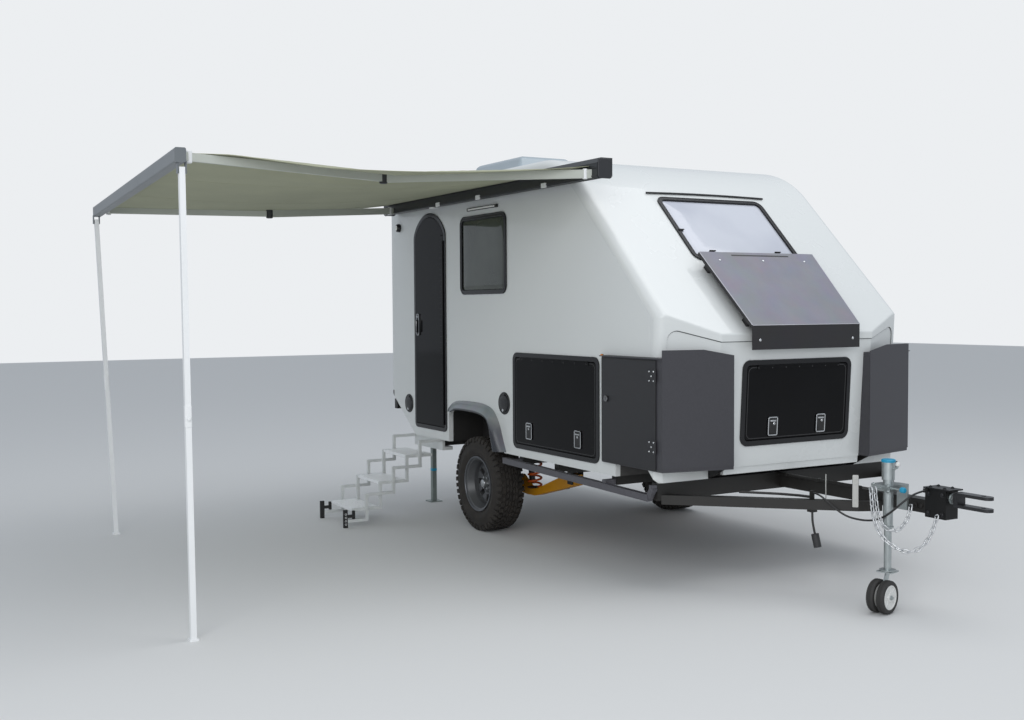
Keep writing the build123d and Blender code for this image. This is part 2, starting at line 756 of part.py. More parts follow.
def make_lockers():
    """The two corner lockers, their front plates and their doors."""
    boxes = []
    face = outline([
        (LOCKER_X0, -LOCKER_IN), (LOCKER_X0, -LOCKER_OUT),
        (LOCKER_FRONT_OUTER_X, -LOCKER_OUT), (LOCKER_FRONT_INNER_X, -LOCKER_IN)])
    solid = extrude(Pos(0, 0, LOCKER_Z0) * face, amount=LOCKER_Z1 - LOCKER_Z0, dir=(0, 0, 1))
    cavity_face = offset(face, amount=-LOCKER_SHEET, kind=Kind.INTERSECTION)
    cavity_h = LOCKER_Z1 - LOCKER_Z0 - 2 * LOCKER_SHEET
    solid -= extrude(Pos(0, 0, LOCKER_Z0 + LOCKER_SHEET) * cavity_face, amount=cavity_h, dir=(0, 0, 1))
    solid -= block(
        LOCKER_DOOR_X0 + LOCKER_RIM, LOCKER_DOOR_X1 - LOCKER_RIM, -2 * LOCKER_OUT,
        -LOCKER_OUT + LOCKER_SHEET + 1, LOCKER_DOOR_Z0 + LOCKER_RIM, LOCKER_DOOR_Z1 - LOCKER_RIM)
    outer = Vector(LOCKER_FRONT_OUTER_X, -LOCKER_OUT, 0)
    inner = Vector(LOCKER_FRONT_INNER_X, -LOCKER_IN, 0)
    width = (inner - outer).length
    kink = width * (LOCKER_OUT - LOCKER_PLATE_KINK_Y) / (LOCKER_OUT - LOCKER_IN)
    plate_plane = Plane(origin=outer, x_dir=inner - outer, z_dir=(inner - outer).cross(Vector(0, 0, 1)))
    plate = outline([
        (-4, LOCKER_Z0 + 22), (-4, LOCKER_PLATE_TOP), (kink, LOCKER_PLATE_TOP),
        (width, LOCKER_PLATE_TOP_INNER), (width, LOCKER_Z0 + 22)])
    solid += extrude(plate_plane * plate, amount=GUARD_SHEET)
    solid += block(LOCKER_X0, LOCKER_FRONT_OUTER_X, -LOCKER_OUT - 22, -LOCKER_OUT, LOCKER_Z1 - 6, LOCKER_Z1)
    boxes = pair(solid)
    parts["corner_lockers"] = solids_of(boxes)
    door = block(
        LOCKER_DOOR_X0, LOCKER_DOOR_X1, -LOCKER_OUT - 7, -LOCKER_OUT - 2, LOCKER_DOOR_Z0, LOCKER_DOOR_Z1)
    lock_x = LOCKER_DOOR_X0 + 58
    lock_z = LOCKER_DOOR_Z0 + 424
    door += rod((lock_x, -LOCKER_OUT - 6, lock_z), (lock_x, -LOCKER_OUT - 14, lock_z), 17)
    axis_x = LOCKER_DOOR_X1 + 4
    axis_y = -LOCKER_OUT - 12
    for z in (LOCKER_DOOR_Z0 + 147, LOCKER_DOOR_Z1 - 99):
        door += block(LOCKER_DOOR_X1 - 78, axis_x, -LOCKER_OUT - 10, -LOCKER_OUT - 6, z - 42, z + 42)
        door += rod((axis_x, axis_y, z - 42), (axis_x, axis_y, z + 42), HINGE_R)
    parts["locker_door_right"] = door
    parts["locker_door_left"] = mirror(door, about=Plane.XZ)


def make_guard():
    """The folded sheet guard that stands off the slope below the window."""
    plane = slope_plane(GUARD_TOP_X, GUARD_STAND)
    foot = -GUARD_LENGTH
    sheet = outline([
        (-GUARD_HALF_TOP, 0), (GUARD_HALF_TOP, 0), (GUARD_HALF_FOOT, foot), (-GUARD_HALF_FOOT, foot)])
    guard = extrude(plane * sheet, amount=GUARD_SHEET)
    taper = (GUARD_HALF_TOP - GUARD_HALF_FOOT) / GUARD_LENGTH
    for side in (-1, 1):
        flange = outline([
            (side * GUARD_HALF_TOP, 0), (side * (GUARD_HALF_TOP - GUARD_SHEET), 0),
            (side * (GUARD_HALF_FOOT - GUARD_SHEET), foot), (side * GUARD_HALF_FOOT, foot)])
        guard += extrude(plane * flange, amount=-GUARD_FLANGE)
        for up in (-90, foot + 100):
            y = side * (GUARD_HALF_TOP + taper * up - 60)
            guard += extrude(plane * Pos(y, up) * Rectangle(24, 60), amount=-GUARD_STAND)
    lip_x = plane.origin.X + GUARD_LENGTH / math.sqrt(2)
    lip_z = plane.origin.Z - GUARD_LENGTH / math.sqrt(2)
    guard += block(lip_x - 2, lip_x + 3, -GUARD_HALF_FOOT, GUARD_HALF_FOOT, lip_z - GUARD_LIP, lip_z + 4)
    parts["slope_guard"] = guard


# Running gear

def make_wheels():
    """Tyres and rims on the two stub axles."""
    half = TYRE_W / 2
    for name, side in (("right", -1), ("left", 1)):
        centre = Plane(origin=(0, side * WHEEL_Y, TYRE_R), x_dir=(1, 0, 0), z_dir=(0, side, 0))
        tyre_half = Polyline(
            (RIM_SEAT_R + 1, half - 32), (RIM_LIP_R + 34, half), (TYRE_R - 46, half - 4), (TYRE_R, half - 44))
        other = mirror(tyre_half, about=Plane.XZ)
        closing = Line((TYRE_R, half - 44), (TYRE_R, 44 - half))
        bead = Line((RIM_SEAT_R + 1, half - 32), (RIM_SEAT_R + 1, 32 - half))
        tyre = revolve(make_face(tyre_half + other + closing + bead), axis=Axis.Y)
        barrel = outline([
            (RIM_SEAT_R - 8, -98), (RIM_LIP_R, -110), (RIM_LIP_R, -102), (RIM_SEAT_R, -94), (RIM_WELL_R + 8, -50),
            (RIM_WELL_R + 8, 40), (RIM_SEAT_R, 70), (RIM_SEAT_R, 94), (RIM_LIP_R, 102), (RIM_LIP_R, 110),
            (RIM_SEAT_R - 8, 98), (RIM_WELL_R, 44), (RIM_WELL_R, -54)])
        disc = outline([
            (STUB_R + 0.1, -80), (STUB_R + 0.1, 22), (HUB_R, 22), (HUB_R + 24, 8), (146, 20), (178, 14), (178, 4),
            (146, 8), (HUB_R + 24, -4), (HUB_R, 4), (HUB_R, -80)])
        cap = outline([(0, 10), (0, 62), (26, 60), (31, 50), (31, 10)])
        rim = revolve(barrel, axis=Axis.Y) + revolve(disc, axis=Axis.Y) + revolve(cap, axis=Axis.Y)
        slot = Plane.XZ * (Pos(RIM_WINDOW_R, 0) * RectangleRounded(RIM_WINDOW_L, RIM_WINDOW_W, 9))
        for index in range(RIM_WINDOWS):
            rim -= Rot(0, index * 360 / RIM_WINDOWS, 0) * extrude(slot, amount=60, both=True)
        turn = Plane(origin=centre.origin, x_dir=(1, 0, 0), z_dir=(0, 0, 1))
        if side < 0:
            turn = Plane(origin=centre.origin, x_dir=(-1, 0, 0), z_dir=(0, 0, 1))
        parts["tyre_" + name] = turn * tyre
        parts["rim_" + name] = turn * rim
    axles = []
    arms = []
    springs = []
    dampers = []
    axle = rod((0, -ARM_Y + 20, TYRE_R), (0, -WHEEL_Y - 6, TYRE_R), STUB_R)
    axle += rod((0, -ARM_Y - ARM_W / 2, TYRE_R), (0, -ARM_Y - ARM_W / 2 - 60, TYRE_R), 78)
    arm = side_prism(outline([
        (-60, TYRE_R - 55), (-60, TYRE_R + 50), (80, TYRE_R + 62), (SPRING_X - 80, TYRE_R - 22),
        (SPRING_X + 80, TYRE_R - 18), (ARM_PIVOT_X - 40, ARM_PIVOT_Z + 46), (ARM_PIVOT_X + 46, ARM_PIVOT_Z + 40),
        (ARM_PIVOT_X + 46, ARM_PIVOT_Z - 40), (SPRING_X + 60, TYRE_R - 76), (SPRING_X - 60, TYRE_R - 80)]),
        -ARM_Y - ARM_W / 2, -ARM_Y + ARM_W / 2)
    arm -= rod((ARM_PIVOT_X, -ARM_Y - ARM_W, ARM_PIVOT_Z), (ARM_PIVOT_X, -ARM_Y + ARM_W, ARM_PIVOT_Z), ARM_PIN_R + 0.5)
    arm -= rod((0, -ARM_Y - ARM_W, TYRE_R), (0, -ARM_Y + ARM_W, TYRE_R), STUB_R + 0.5)
    axles = pair(axle)
    arms = pair(arm)
    parts["stub_axles"] = solids_of(axles)
    parts["suspension_arms"] = solids_of(arms)
    seat = TYRE_R - 20
    top = BODY_BOTTOM - PERCH
    height = top - seat - 2 * SPRING_WIRE_R - 4
    coil = Helix(pitch=height / SPRING_TURNS, height=height, radius=SPRING_R - SPRING_WIRE_R)
    section = Plane(origin=coil @ 0, z_dir=coil % 0) * RegularPolygon(SPRING_WIRE_R, 6)
    wire = sweep(section, path=coil, is_frenet=True)
    wire = Pos(SPRING_X, -ARM_Y, seat + SPRING_WIRE_R + 3) * wire
    springs = pair(wire)
    parts["coil_springs"] = solids_of(springs)
    damper = rod((DAMPER_X, -DAMPER_Y, TYRE_R + 10), (DAMPER_X - 30, -DAMPER_Y, DAMPER_TOP), 26)
    damper += rod((DAMPER_X, -ARM_Y + ARM_W / 2, TYRE_R), (DAMPER_X, -DAMPER_Y + 28, TYRE_R), 20)
    damper -= block(-FAR, FAR, -FAR, FAR, DAMPER_TOP - 20, FAR)
    dampers = pair(damper)
    parts["dampers"] = solids_of(dampers)


def flare_form(inset, past):
    """The ruled form between the flare's root on the wall and its narrower lip, moved inwards."""
    sections = []
    for points, out in ((FLARE_ROOT, -past), (FLARE_LIP, FLARE_PROUD + past)):
        face = outline(points)
        if inset:
            face = offset(face, amount=-inset, kind=Kind.INTERSECTION)
        sections.append(upright_plane(-1).offset(out) * face)
    return loft(sections, ruled=True)


def make_flares():
    """The angular flares over the arches, open below."""
    flare = flare_form(0, 0) - flare_form(FLARE_SHEET, 0.01)
    flare -= block(0, FAR, -FAR, FAR, 0, FLARE_FRONT_Z)
    flare -= block(-FAR, 0, -FAR, FAR, 0, FLARE_REAR_Z)
    parts["fender_flares"] = solids_of(pair(flare))


# Chassis


def make_chassis():
    """Main rails, cross members, drawbar, sliders and rear bumper."""
    kick = 10
    rail = side_prism(outline([
        (RAIL_FRONT_X, CHASSIS_Z0), (RAIL_FRONT_X, BODY_BOTTOM), (CHAMFER_X - kick, BODY_BOTTOM),
        (RAIL_REAR_X, chamfer_z(RAIL_REAR_X) - kick), (RAIL_REAR_X, chamfer_z(RAIL_REAR_X) - CHASSIS_H - kick),
        (CHAMFER_X - kick, CHASSIS_Z0)]), -RAIL_Y - RAIL_W / 2, -RAIL_Y + RAIL_W / 2)
    outer_start = RAIL_Y + RAIL_W / 2
    pivot = block(ARM_PIVOT_X - 50, ARM_PIVOT_X + 50, -ARM_Y - 52, -outer_start, ARM_PIVOT_Z + 60, BODY_BOTTOM)
    for y in (-ARM_Y - 52, -ARM_Y + 42):
        pivot += block(ARM_PIVOT_X - 34, ARM_PIVOT_X + 34, y, y + 10, ARM_PIVOT_Z - 34, ARM_PIVOT_Z + 60)
    pivot += rod((ARM_PIVOT_X, -ARM_Y - 60, ARM_PIVOT_Z), (ARM_PIVOT_X, -ARM_Y + 60, ARM_PIVOT_Z), ARM_PIN_R)
    perch = block(SPRING_X - 70, SPRING_X + 70, -ARM_Y - SPRING_R, -outer_start, BODY_BOTTOM - PERCH, BODY_BOTTOM)
    hanger = block(
        DAMPER_X - 66, DAMPER_X + 10, -DAMPER_Y - 30, -outer_start, DAMPER_TOP - 20, BODY_BOTTOM)
    rail = rail + pivot + perch + hanger
    parts["main_rails"] = solids_of(pair(rail))
    members = []
    stations = (-1120, -790, 640, 1150, 1885)
    inner_end = RAIL_Y - RAIL_W / 2
    for x in stations:
        x0 = x - CROSS_W / 2
        members.append(block(x0, x0 + CROSS_W, -inner_end, inner_end, BODY_BOTTOM - 70, BODY_BOTTOM))
        wing = block(x0, x0 + CROSS_W, -CROSS_END_Y, -outer_start, BODY_BOTTOM - 70, BODY_BOTTOM)
        members += pair(wing)
    parts["cross_members"] = solids_of(members)
    beam_top = BODY_BOTTOM + BEAM_RISE
    beam_half = SLIDER_Y - SLIDER_SIZE / 2
    front = block(RAIL_FRONT_X, BEAM_X, -beam_half, beam_half, CHASSIS_Z0 + BEAM_RISE, beam_top)
    gusset_y = LOCKER_IN + WALL
    gusset = side_prism(outline([
        (RAIL_FRONT_X, beam_top), (RAIL_FRONT_X, LOCKER_Z0), (LOCKER_FRONT_INNER_X - 30, LOCKER_Z0), (BEAM_X, beam_top)]),
        -gusset_y - 6, -gusset_y)
    for plate in pair(gusset):
        front += plate
    parts["front_beam"] = front
    arm_z0 = CHASSIS_Z0 - DRAWBAR_ARM_DROP
    half = SPINE_SIZE / 2
    tip_x, tip_y = DRAWBAR_ARM_TIP
    run = math.hypot(tip_x - BEAM_X, DRAWBAR_ARM_FOOT_Y - tip_y)
    ahead = (tip_x - BEAM_X) / run
    across = (DRAWBAR_ARM_FOOT_Y - tip_y) / run
    inner_foot_y = DRAWBAR_ARM_FOOT_Y - DRAWBAR_ARM_W / ahead
    inner_end_x = BEAM_X + (inner_foot_y - half) * ahead / across
    arm_face = outline([
        (BEAM_X, -DRAWBAR_ARM_FOOT_Y), (tip_x, -tip_y), (inner_end_x + 20, -half), (inner_end_x, -half),
        (BEAM_X, -inner_foot_y)])
    arm = extrude(Pos(0, 0, arm_z0) * arm_face, amount=DRAWBAR_ARM_H, dir=(0, 0, 1))
    spine = block(BEAM_X, COUPLER_X0, -half, half, SPINE_Z - half, SPINE_Z + half)
    for side_arm in pair(arm):
        spine += side_arm
    parts["drawbar"] = spine
    slider = beam((518, -SLIDER_Y, 640), (2390, -SLIDER_Y, 604), SLIDER_SIZE, SLIDER_SIZE)
    for x, z in ((640, 638), (1885, 614)):
        slider += block(
            x - 20, x + 20, -SLIDER_Y + SLIDER_SIZE / 2 - 4, -CROSS_END_Y, BODY_BOTTOM - 68, BODY_BOTTOM - 30)
        slider += block(x - 20, x + 20, -SLIDER_Y - 10, -SLIDER_Y + 30, z + 10, BODY_BOTTOM - 30)
    slider += beam((2384, -SLIDER_Y, 606), (BEAM_X - 10, -SLIDER_Y, 676), 36, 36)
    slider += block(BEAM_X - 40, BEAM_X - 4, -SLIDER_Y - 16, SLIDER_SIZE / 2 - SLIDER_Y, 650, 690)
    parts["side_sliders"] = solids_of(pair(slider))
    bumper_z = chamfer_z(RAIL_REAR_X) - 60
    bumper = block(RAIL_REAR_X - 60, RAIL_REAR_X, -HALF_WIDTH + 30, HALF_WIDTH - 30, bumper_z - 60, bumper_z + 30)
    receiver = block(RAIL_REAR_X - 62, RAIL_REAR_X + 160, -38, 38, bumper_z - 130, bumper_z - 60)
    receiver -= block(RAIL_REAR_X - 70, RAIL_REAR_X + 150, -25.5, 25.5, bumper_z - 121, bumper_z - 70)
    parts["rear_bumper"] = bumper + receiver


def make_coupling():
    """The coupler block, and the fork that rolls in it."""
    body = block(COUPLER_X0, COUPLER_X1, -COUPLER_HALF_Y, COUPLER_HALF_Y, COUPLER_Z0, COUPLER_Z1)
    body += block(COUPLER_X0 - 10, COUPLER_X1 + 30, -58, 58, COUPLER_Z1, COUPLER_Z1 + 8)
    body -= rod((COUPLER_X0 + 30, 0, COUPLING_Z), (COUPLER_X1 + 1, 0, COUPLING_Z), ROLL_SHAFT_R + 0.4)
    peg_x, peg_y, peg_z = CHAIN_PEGS[1]
    body += rod((peg_x, 10 - COUPLER_HALF_Y, peg_z), (peg_x, peg_y - CHAIN_WIRE - 6, peg_z), CHAIN_PEG_R)
    parts["coupler_block"] = body
    fork = rod((COUPLER_X0 + 34, 0, COUPLING_Z), (COUPLER_X1 + 40, 0, COUPLING_Z), ROLL_SHAFT_R)
    reach = FORK_GAP / 2 + FORK_EAR
    fork += block(COUPLER_X1 + 36, COUPLER_X1 + 66, -FORK_HALF_Y, FORK_HALF_Y, COUPLING_Z - reach, COUPLING_Z + reach)
    ear = Pos(COUPLER_X1 + 60, 0) * Rectangle(2 * (FORK_TIP_X - FORK_HALF_Y - COUPLER_X1 - 60), 2 * FORK_HALF_Y)
    ear += Pos(FORK_TIP_X - FORK_HALF_Y, 0) * Circle(FORK_HALF_Y)
    ear -= Pos(COUPLER_X1 - 200, 0) * Rectangle(2 * 240, 4 * FORK_HALF_Y)
    ear -= Pos(COUPLING_PIN_X, 0) * Circle(FORK_PIN_R)
    for z in (COUPLING_Z - reach, COUPLING_Z + FORK_GAP / 2):
        fork += extrude(Pos(0, 0, z) * ear, amount=FORK_EAR, dir=(0, 0, 1))
    parts["coupling_fork"] = fork


def make_jack():
    """The jack: clamp, outer tube, inner tube, caster fork and twin wheels."""
    outer = Pos(JACK_X, JACK_Y, JACK_HEAD_Z) * Cylinder(
        JACK_HEAD_R, JACK_TOP - JACK_HEAD_Z, align=(Align.CENTER, Align.CENTER, Align.MIN))
    outer += Pos(JACK_X, JACK_Y, JACK_OUTER_FOOT) * Cylinder(
        JACK_OUTER_R, JACK_HEAD_Z - JACK_OUTER_FOOT, align=(Align.CENTER, Align.CENTER, Align.MIN))
    spine_side = -SPINE_SIZE / 2
    clamp_z0 = JACK_CLAMP_Z - JACK_CLAMP_H / 2
    clamp_z1 = JACK_CLAMP_Z + JACK_CLAMP_H / 2
    outer += block(JACK_X - 40, JACK_X + 40, spine_side - 12, spine_side, SPINE_Z - 40, clamp_z1)
    outer += block(JACK_X - 100, JACK_X + 46, JACK_Y - 36, spine_side - 12, clamp_z0, clamp_z1)
    knob_x = JACK_X + 96
    outer += rod((JACK_X + 40, JACK_Y, JACK_CLAMP_Z), (knob_x, JACK_Y, JACK_CLAMP_Z), 7)
    for peg_x, peg_y, peg_z in CHAIN_PEGS[0:1]:
        outer += rod((peg_x, JACK_Y - 30, peg_z), (peg_x, peg_y - CHAIN_WIRE - 42, peg_z), CHAIN_PEG_R)
    outer -= Pos(JACK_X, JACK_Y, JACK_OUTER_FOOT - 1) * Cylinder(
        JACK_INNER_R + 0.5, JACK_TOP - 30 - JACK_OUTER_FOOT, align=(Align.CENTER, Align.CENTER, Align.MIN))
    parts["jack_outer_tube"] = outer
    cap = Pos(JACK_X, JACK_Y, JACK_TOP) * Cylinder(
        JACK_HEAD_R + 2, JACK_CAP_H, align=(Align.CENTER, Align.CENTER, Align.MIN))
    cap = chamfer(cap.edges().sort_by(Axis.Z)[-1:], 5)
    knob = rod((knob_x, JACK_Y, JACK_CLAMP_Z), (knob_x + 30, JACK_Y, JACK_CLAMP_Z), 17)
    parts["jack_grips"] = solids_of([cap, fillet(knob.edges().filter_by(GeomType.CIRCLE), 6)])
    inner = Pos(JACK_X, JACK_Y, JACK_FLANGE_Z) * Cylinder(
        JACK_INNER_R, 410, align=(Align.CENTER, Align.CENTER, Align.MIN))
    inner += Pos(JACK_X, JACK_Y, JACK_FLANGE_Z) * Cylinder(
        48, 6, align=(Align.CENTER, Align.CENTER, Align.MIN))
    parts["jack_inner_tube"] = inner
    turn = Rot(0, 0, JACK_TURN)
    top = JACK_FLANGE_Z - 2
    fork = Pos(0, 0, top - 8) * Box(96, 96, 8, align=(Align.CENTER, Align.CENTER, Align.MIN))
    fork += beam((0, 0, top - 12), (0, -JACK_TRAIL, JACK_WHEEL_R), JACK_WHEEL_GAP - 4, 40)
    axle = rod((-JACK_WHEEL_W - 20, -JACK_TRAIL, JACK_WHEEL_R), (JACK_WHEEL_W + 20, -JACK_TRAIL, JACK_WHEEL_R), 9)
    place = Pos(JACK_X, JACK_Y, 0) * turn
    parts["jack_caster_fork"] = place * (fork + axle)
    wheels = []
    for side in (-1, 1):
        x = side * (JACK_WHEEL_GAP / 2 + JACK_WHEEL_W / 2)
        wheel = Pos(x, -JACK_TRAIL, JACK_WHEEL_R) * Rot(0, 90, 0) * Cylinder(JACK_WHEEL_R, JACK_WHEEL_W)
        wheel -= rod((x - 60, -JACK_TRAIL, JACK_WHEEL_R), (x + 60, -JACK_TRAIL, JACK_WHEEL_R), 9.5)
        wheels.append(place * wheel)
    parts["jack_wheels"] = solids_of(wheels)


# Awning

def lead_point(share, y=0, z=0):
    """A point along the lead rail, from its rear end to its front end."""
    rear = Vector(*LEAD_REAR)
    front = Vector(*LEAD_FRONT)
    return rear + (front - rear) * share + Vector(0, y, z)


def make_awning():
    """Case, folding arms, lead rail, cloth and the two legs."""
    case_face = outline([
        (CASE_Y_IN, CASE_Z0 + 20), (CASE_Y_IN, CASE_Z1), (CASE_Y_OUT + 30, CASE_Z1), (CASE_Y_OUT, CASE_Z1 - 34),
        (CASE_Y_OUT, CASE_Z0 + 10), (CASE_Y_OUT + 16, CASE_Z0)])
    case = extrude(Plane.YZ.offset(CASE_X0) * case_face, amount=CASE_X1 - CASE_X0)
    for x in CASE_BRACKETS_X:
        case += block(x - 60, x + 60, CASE_Y_IN, -HALF_WIDTH, CASE_Z0 + 30, CASE_Z1 - 10)
    parts["awning_case"] = case
    along = Vector(*LEAD_FRONT) - Vector(*LEAD_REAR)
    rail_plane = Plane(origin=Vector(*LEAD_REAR), x_dir=Vector(0, 0, 1).cross(along), z_dir=along)
    rail_shape = RectangleRounded(LEAD_DEPTH, LEAD_H, 10)
    rail = extrude(rail_plane * rail_shape, amount=along.length)
    arms = []
    for (x0, x1, x2), (drop0, drop1, drop2), elbow_reach, wrist_inset, lead in zip(
            ARM_X, ARM_DROPS, ARM_ELBOW_REACH, ARM_WRIST_INSET, (LEAD_FRONT, LEAD_REAR)):
        shoulder = (x0, CASE_Y_OUT + ARM_SHOULDER_INSET, ROOF_Z - drop0)
        elbow = (x1, CASE_Y_OUT - elbow_reach, ROOF_Z - drop1)
        wrist = (x2, lead[1] + wrist_inset, ROOF_Z - drop2)
        elbow_joint = Pos(*elbow) * Cylinder(24, 60)
        arms.append(beam(shoulder, elbow, 30, 56) + beam(elbow, wrist, 26, 46) + elbow_joint - case - rail)
    parts["awning_arms"] = solids_of(arms)
    z_case = CASE_Z1 - 50
    case_edge = [
        (CLOTH_X0, CASE_Y_OUT - 1, z_case), (CLOTH_X1, CASE_Y_OUT - 1, z_case),
        (CLOTH_X1, CASE_Y_OUT - 1, z_case + CLOTH_THICK), (CLOTH_X0, CASE_Y_OUT - 1, z_case + CLOTH_THICK)]
    length = LEAD_FRONT[0] - LEAD_REAR[0]
    rail_edge = []
    for x, lift in ((CLOTH_X0, 0), (CLOTH_X1, 0), (CLOTH_X1, CLOTH_THICK), (CLOTH_X0, CLOTH_THICK)):
        share = (x - LEAD_REAR[0]) / length
        spot = lead_point(share, LEAD_DEPTH / 2 + 3, LEAD_H / 2 - 14 + lift)
        rail_edge.append((spot.X, spot.Y, spot.Z))
    faces = [make_face(Polyline(*case_edge, close=True)), make_face(Polyline(*rail_edge, close=True))]
    parts["awning_cloth"] = loft(faces, ruled=True)
    for name, share, foot_y, inward in (("front", 1, LEG_FOOT_FRONT_Y, -1), ("rear", 0, LEG_FOOT_REAR_Y, 1)):
        pivot = lead_point(share, inward * -LEG_OFFSET, -LEAD_H / 2 - LEG_INSET) + Vector(inward * 30, 0, 0)
        x, y, z = pivot.X, pivot.Y, pivot.Z
        half = LEG_W / 2
        leg = beam((x, y, z + 20), (x, foot_y, 6), LEG_W, LEG_W)
        leg += block(x - 26, x + 26, foot_y - 26, foot_y + 26, 0, 12)
        leg -= rod((x, y - LEG_W, z), (x, y + LEG_W, z), LEG_PIN_R + 0.5)
        parts["awning_leg_" + name] = leg
        for ear_y in (y - half - LEG_EAR - LEG_SIDE_GAP, y + half + LEG_SIDE_GAP):
            rail += block(x - 16, x + 16, ear_y, ear_y + LEG_EAR, z - 16, z + LEG_INSET + 10)
        reach = half + LEG_SIDE_GAP + LEG_EAR
        rail += rod((x, y - reach, z), (x, y + reach, z), LEG_PIN_R)
    parts["awning_lead_rail"] = rail


def zigzag(y_start, z_start, turns, first_run):
    """A stair-shaped bar of square tube, level and upright in turn, as an outline."""
    half = STEP_TUBE / 2
    points = [(y_start, z_start)]
    y = y_start - first_run
    z = z_start
    points.append((y, z))
    for step in range(turns):
        z -= STEP_RISE
        points.append((y, z))
        y -= STEP_RUN
        points.append((y, z))
    upper = []
    lower = []
    for index, (py, pz) in enumerate(points):
        end = index in (0, len(points) - 1)
        upper.append((py - (0 if end else half), pz + half))
        lower.append((py + (0 if end else half), pz - half))
    return upper + lower[::-1]


def make_steps():
    """Three treads on crossed stair-shaped bars, with two-legged feet."""
    bars = []
    first_y = STEP_TOP_Y + 95
    for x in (STEP_X1, STEP_X0):
        sign = 1 if x == STEP_X1 else -1
        for layer, (y0, z0, turns, run) in enumerate((
                (first_y, STEP_TOP_Z + 122, 3, 212), (STEP_TOP_Y + 8, STEP_TOP_Z, 2, STEP_RUN - 12))):
            face = outline(zigzag(y0, z0, turns, run))
            face = fillet(face.vertices(), STEP_BEND_R)
            start = x - sign * layer * (STEP_TUBE + 3)
            bar = extrude(Plane.YZ.offset(min(start, start - sign * STEP_TUBE)) * face, amount=STEP_TUBE)
            bars.append(bar - block(-FAR, FAR, -FAR, STEP_END_Y, 0, FAR))
        inner_face = x - sign * (2 * STEP_TUBE + 3)
        for index in range(2):
            pin_y = first_y - 212 - index * STEP_RUN
            pin_z = STEP_TOP_Z - index * STEP_RISE
            bars.append(rod((x, pin_y, pin_z), (inner_face, pin_y, pin_z), 8))
    frame = bars[0]
    for bar in bars[1:]:
        frame += bar
    inner0 = STEP_X0 + 2 * STEP_TUBE + 3
    inner1 = STEP_X1 - 2 * STEP_TUBE - 3
    for index in range(3):
        y1 = STEP_TOP_Y - index * STEP_RUN
        z = STEP_TOP_Z - index * STEP_RISE
        frame += block(inner0, inner1, y1 - STEP_TREAD, y1, z - 14, z + 12)
    parts["entry_steps"] = frame
    feet = []
    for x in (STEP_X1, STEP_X0):
        sign = 1 if x == STEP_X1 else -1
        inner_x = x - sign * STEP_TUBE
        x0 = min(x, inner_x)
        x1 = max(x, inner_x)
        foot = block(x0, x1, STEP_END_Y - 34, STEP_END_Y, 0, 150)
        foot += block(x0, x1, STEP_END_Y, STEP_END_Y + 66, 82, 106)
        foot += block(x0, x1, STEP_END_Y + 46, STEP_END_Y + 66, 70, 138)
        feet.append(foot)
    parts["step_feet"] = solids_of(feet)
    mount_front = first_y + 24
    sill = block(STEP_X0, STEP_X1, first_y + 1, mount_front, BODY_BOTTOM - 100, BODY_BOTTOM)
    sill += block(STEP_X0, STEP_X1, mount_front, STEP_MOUNT_Y, BODY_BOTTOM - 100, BODY_BOTTOM - 70)
    parts["step_mount"] = sill


def make_steadies():
    """Drop-down corner steadies at the rear."""
    top = chamfer_z(STEADY_X) - 24
    leg = block(
        STEADY_X - STEADY_SIZE / 2, STEADY_X + STEADY_SIZE / 2, -STEADY_Y - STEADY_SIZE / 2,
        -STEADY_Y + STEADY_SIZE / 2, 8, top)
    leg += block(STEADY_X - 60, STEADY_X + 60, -STEADY_Y - 60, -STEADY_Y + 60, 0, 8)
    leg += block(STEADY_X - 40, STEADY_X + 40, -STEADY_Y - 34, -RAIL_Y - RAIL_W / 2, top - 90, top - 10)
    parts["corner_steadies"] = solids_of(pair(leg))


def make_fittings():
    """Roof unit, ports, lamps and the drawbar plate."""
    base = Pos(UNIT_X, 0, ROOF_Z) * extrude(RectangleRounded(UNIT_L, UNIT_W, 120), amount=UNIT_H, taper=22)
    top = base.faces().sort_by(Axis.Z)[-1]
    parts["roof_unit"] = fillet(top.edges(), 60)
    right = upright_plane(-1)
    ports = []
    for x, z, radius in PORTS:
        port = extrude(right * Pos(x, z) * Circle(radius), amount=12)
        port = chamfer(port.faces().sort_by(Axis.Y)[0].edges(), 6)
        ports.append(port)
    parts["service_ports"] = solids_of(ports)
    lamps = []
    lamps += pair(extrude(right * Pos(*MARKER_SPOT) * RectangleRounded(30, 14, 5), amount=12))
    lamps += pair(extrude(right * Pos(*PORCH_SPOT) * Circle(38), amount=40))
    tail = extrude(rear_plane(TAIL_Z) * Pos(-TAIL_Y, 0) * RectangleRounded(110, 260, 18), amount=24)
    lamps += pair(tail)
    lamps.append(extrude(right * Pos(*STRIP_SPOT) * RectangleRounded(500, 26, 8), amount=26))
    parts["lamps"] = solids_of(lamps)


def chain_link(pitch):
    """One open six-sided link lying along x, with a square section."""
    rings = []
    for half_x, half_y in ((pitch / 2 + 1.5 * CHAIN_WIRE, 1.6 * CHAIN_WIRE), (pitch / 2, 0.6 * CHAIN_WIRE)):
        cut = 0.7 * half_y
        rings.append(outline([
            (-half_x, 0), (cut - half_x, -half_y), (half_x - cut, -half_y), (half_x, 0),
            (half_x - cut, half_y), (cut - half_x, half_y)]))
    return extrude(rings[0] - rings[1], amount=CHAIN_WIRE / 2, both=True)


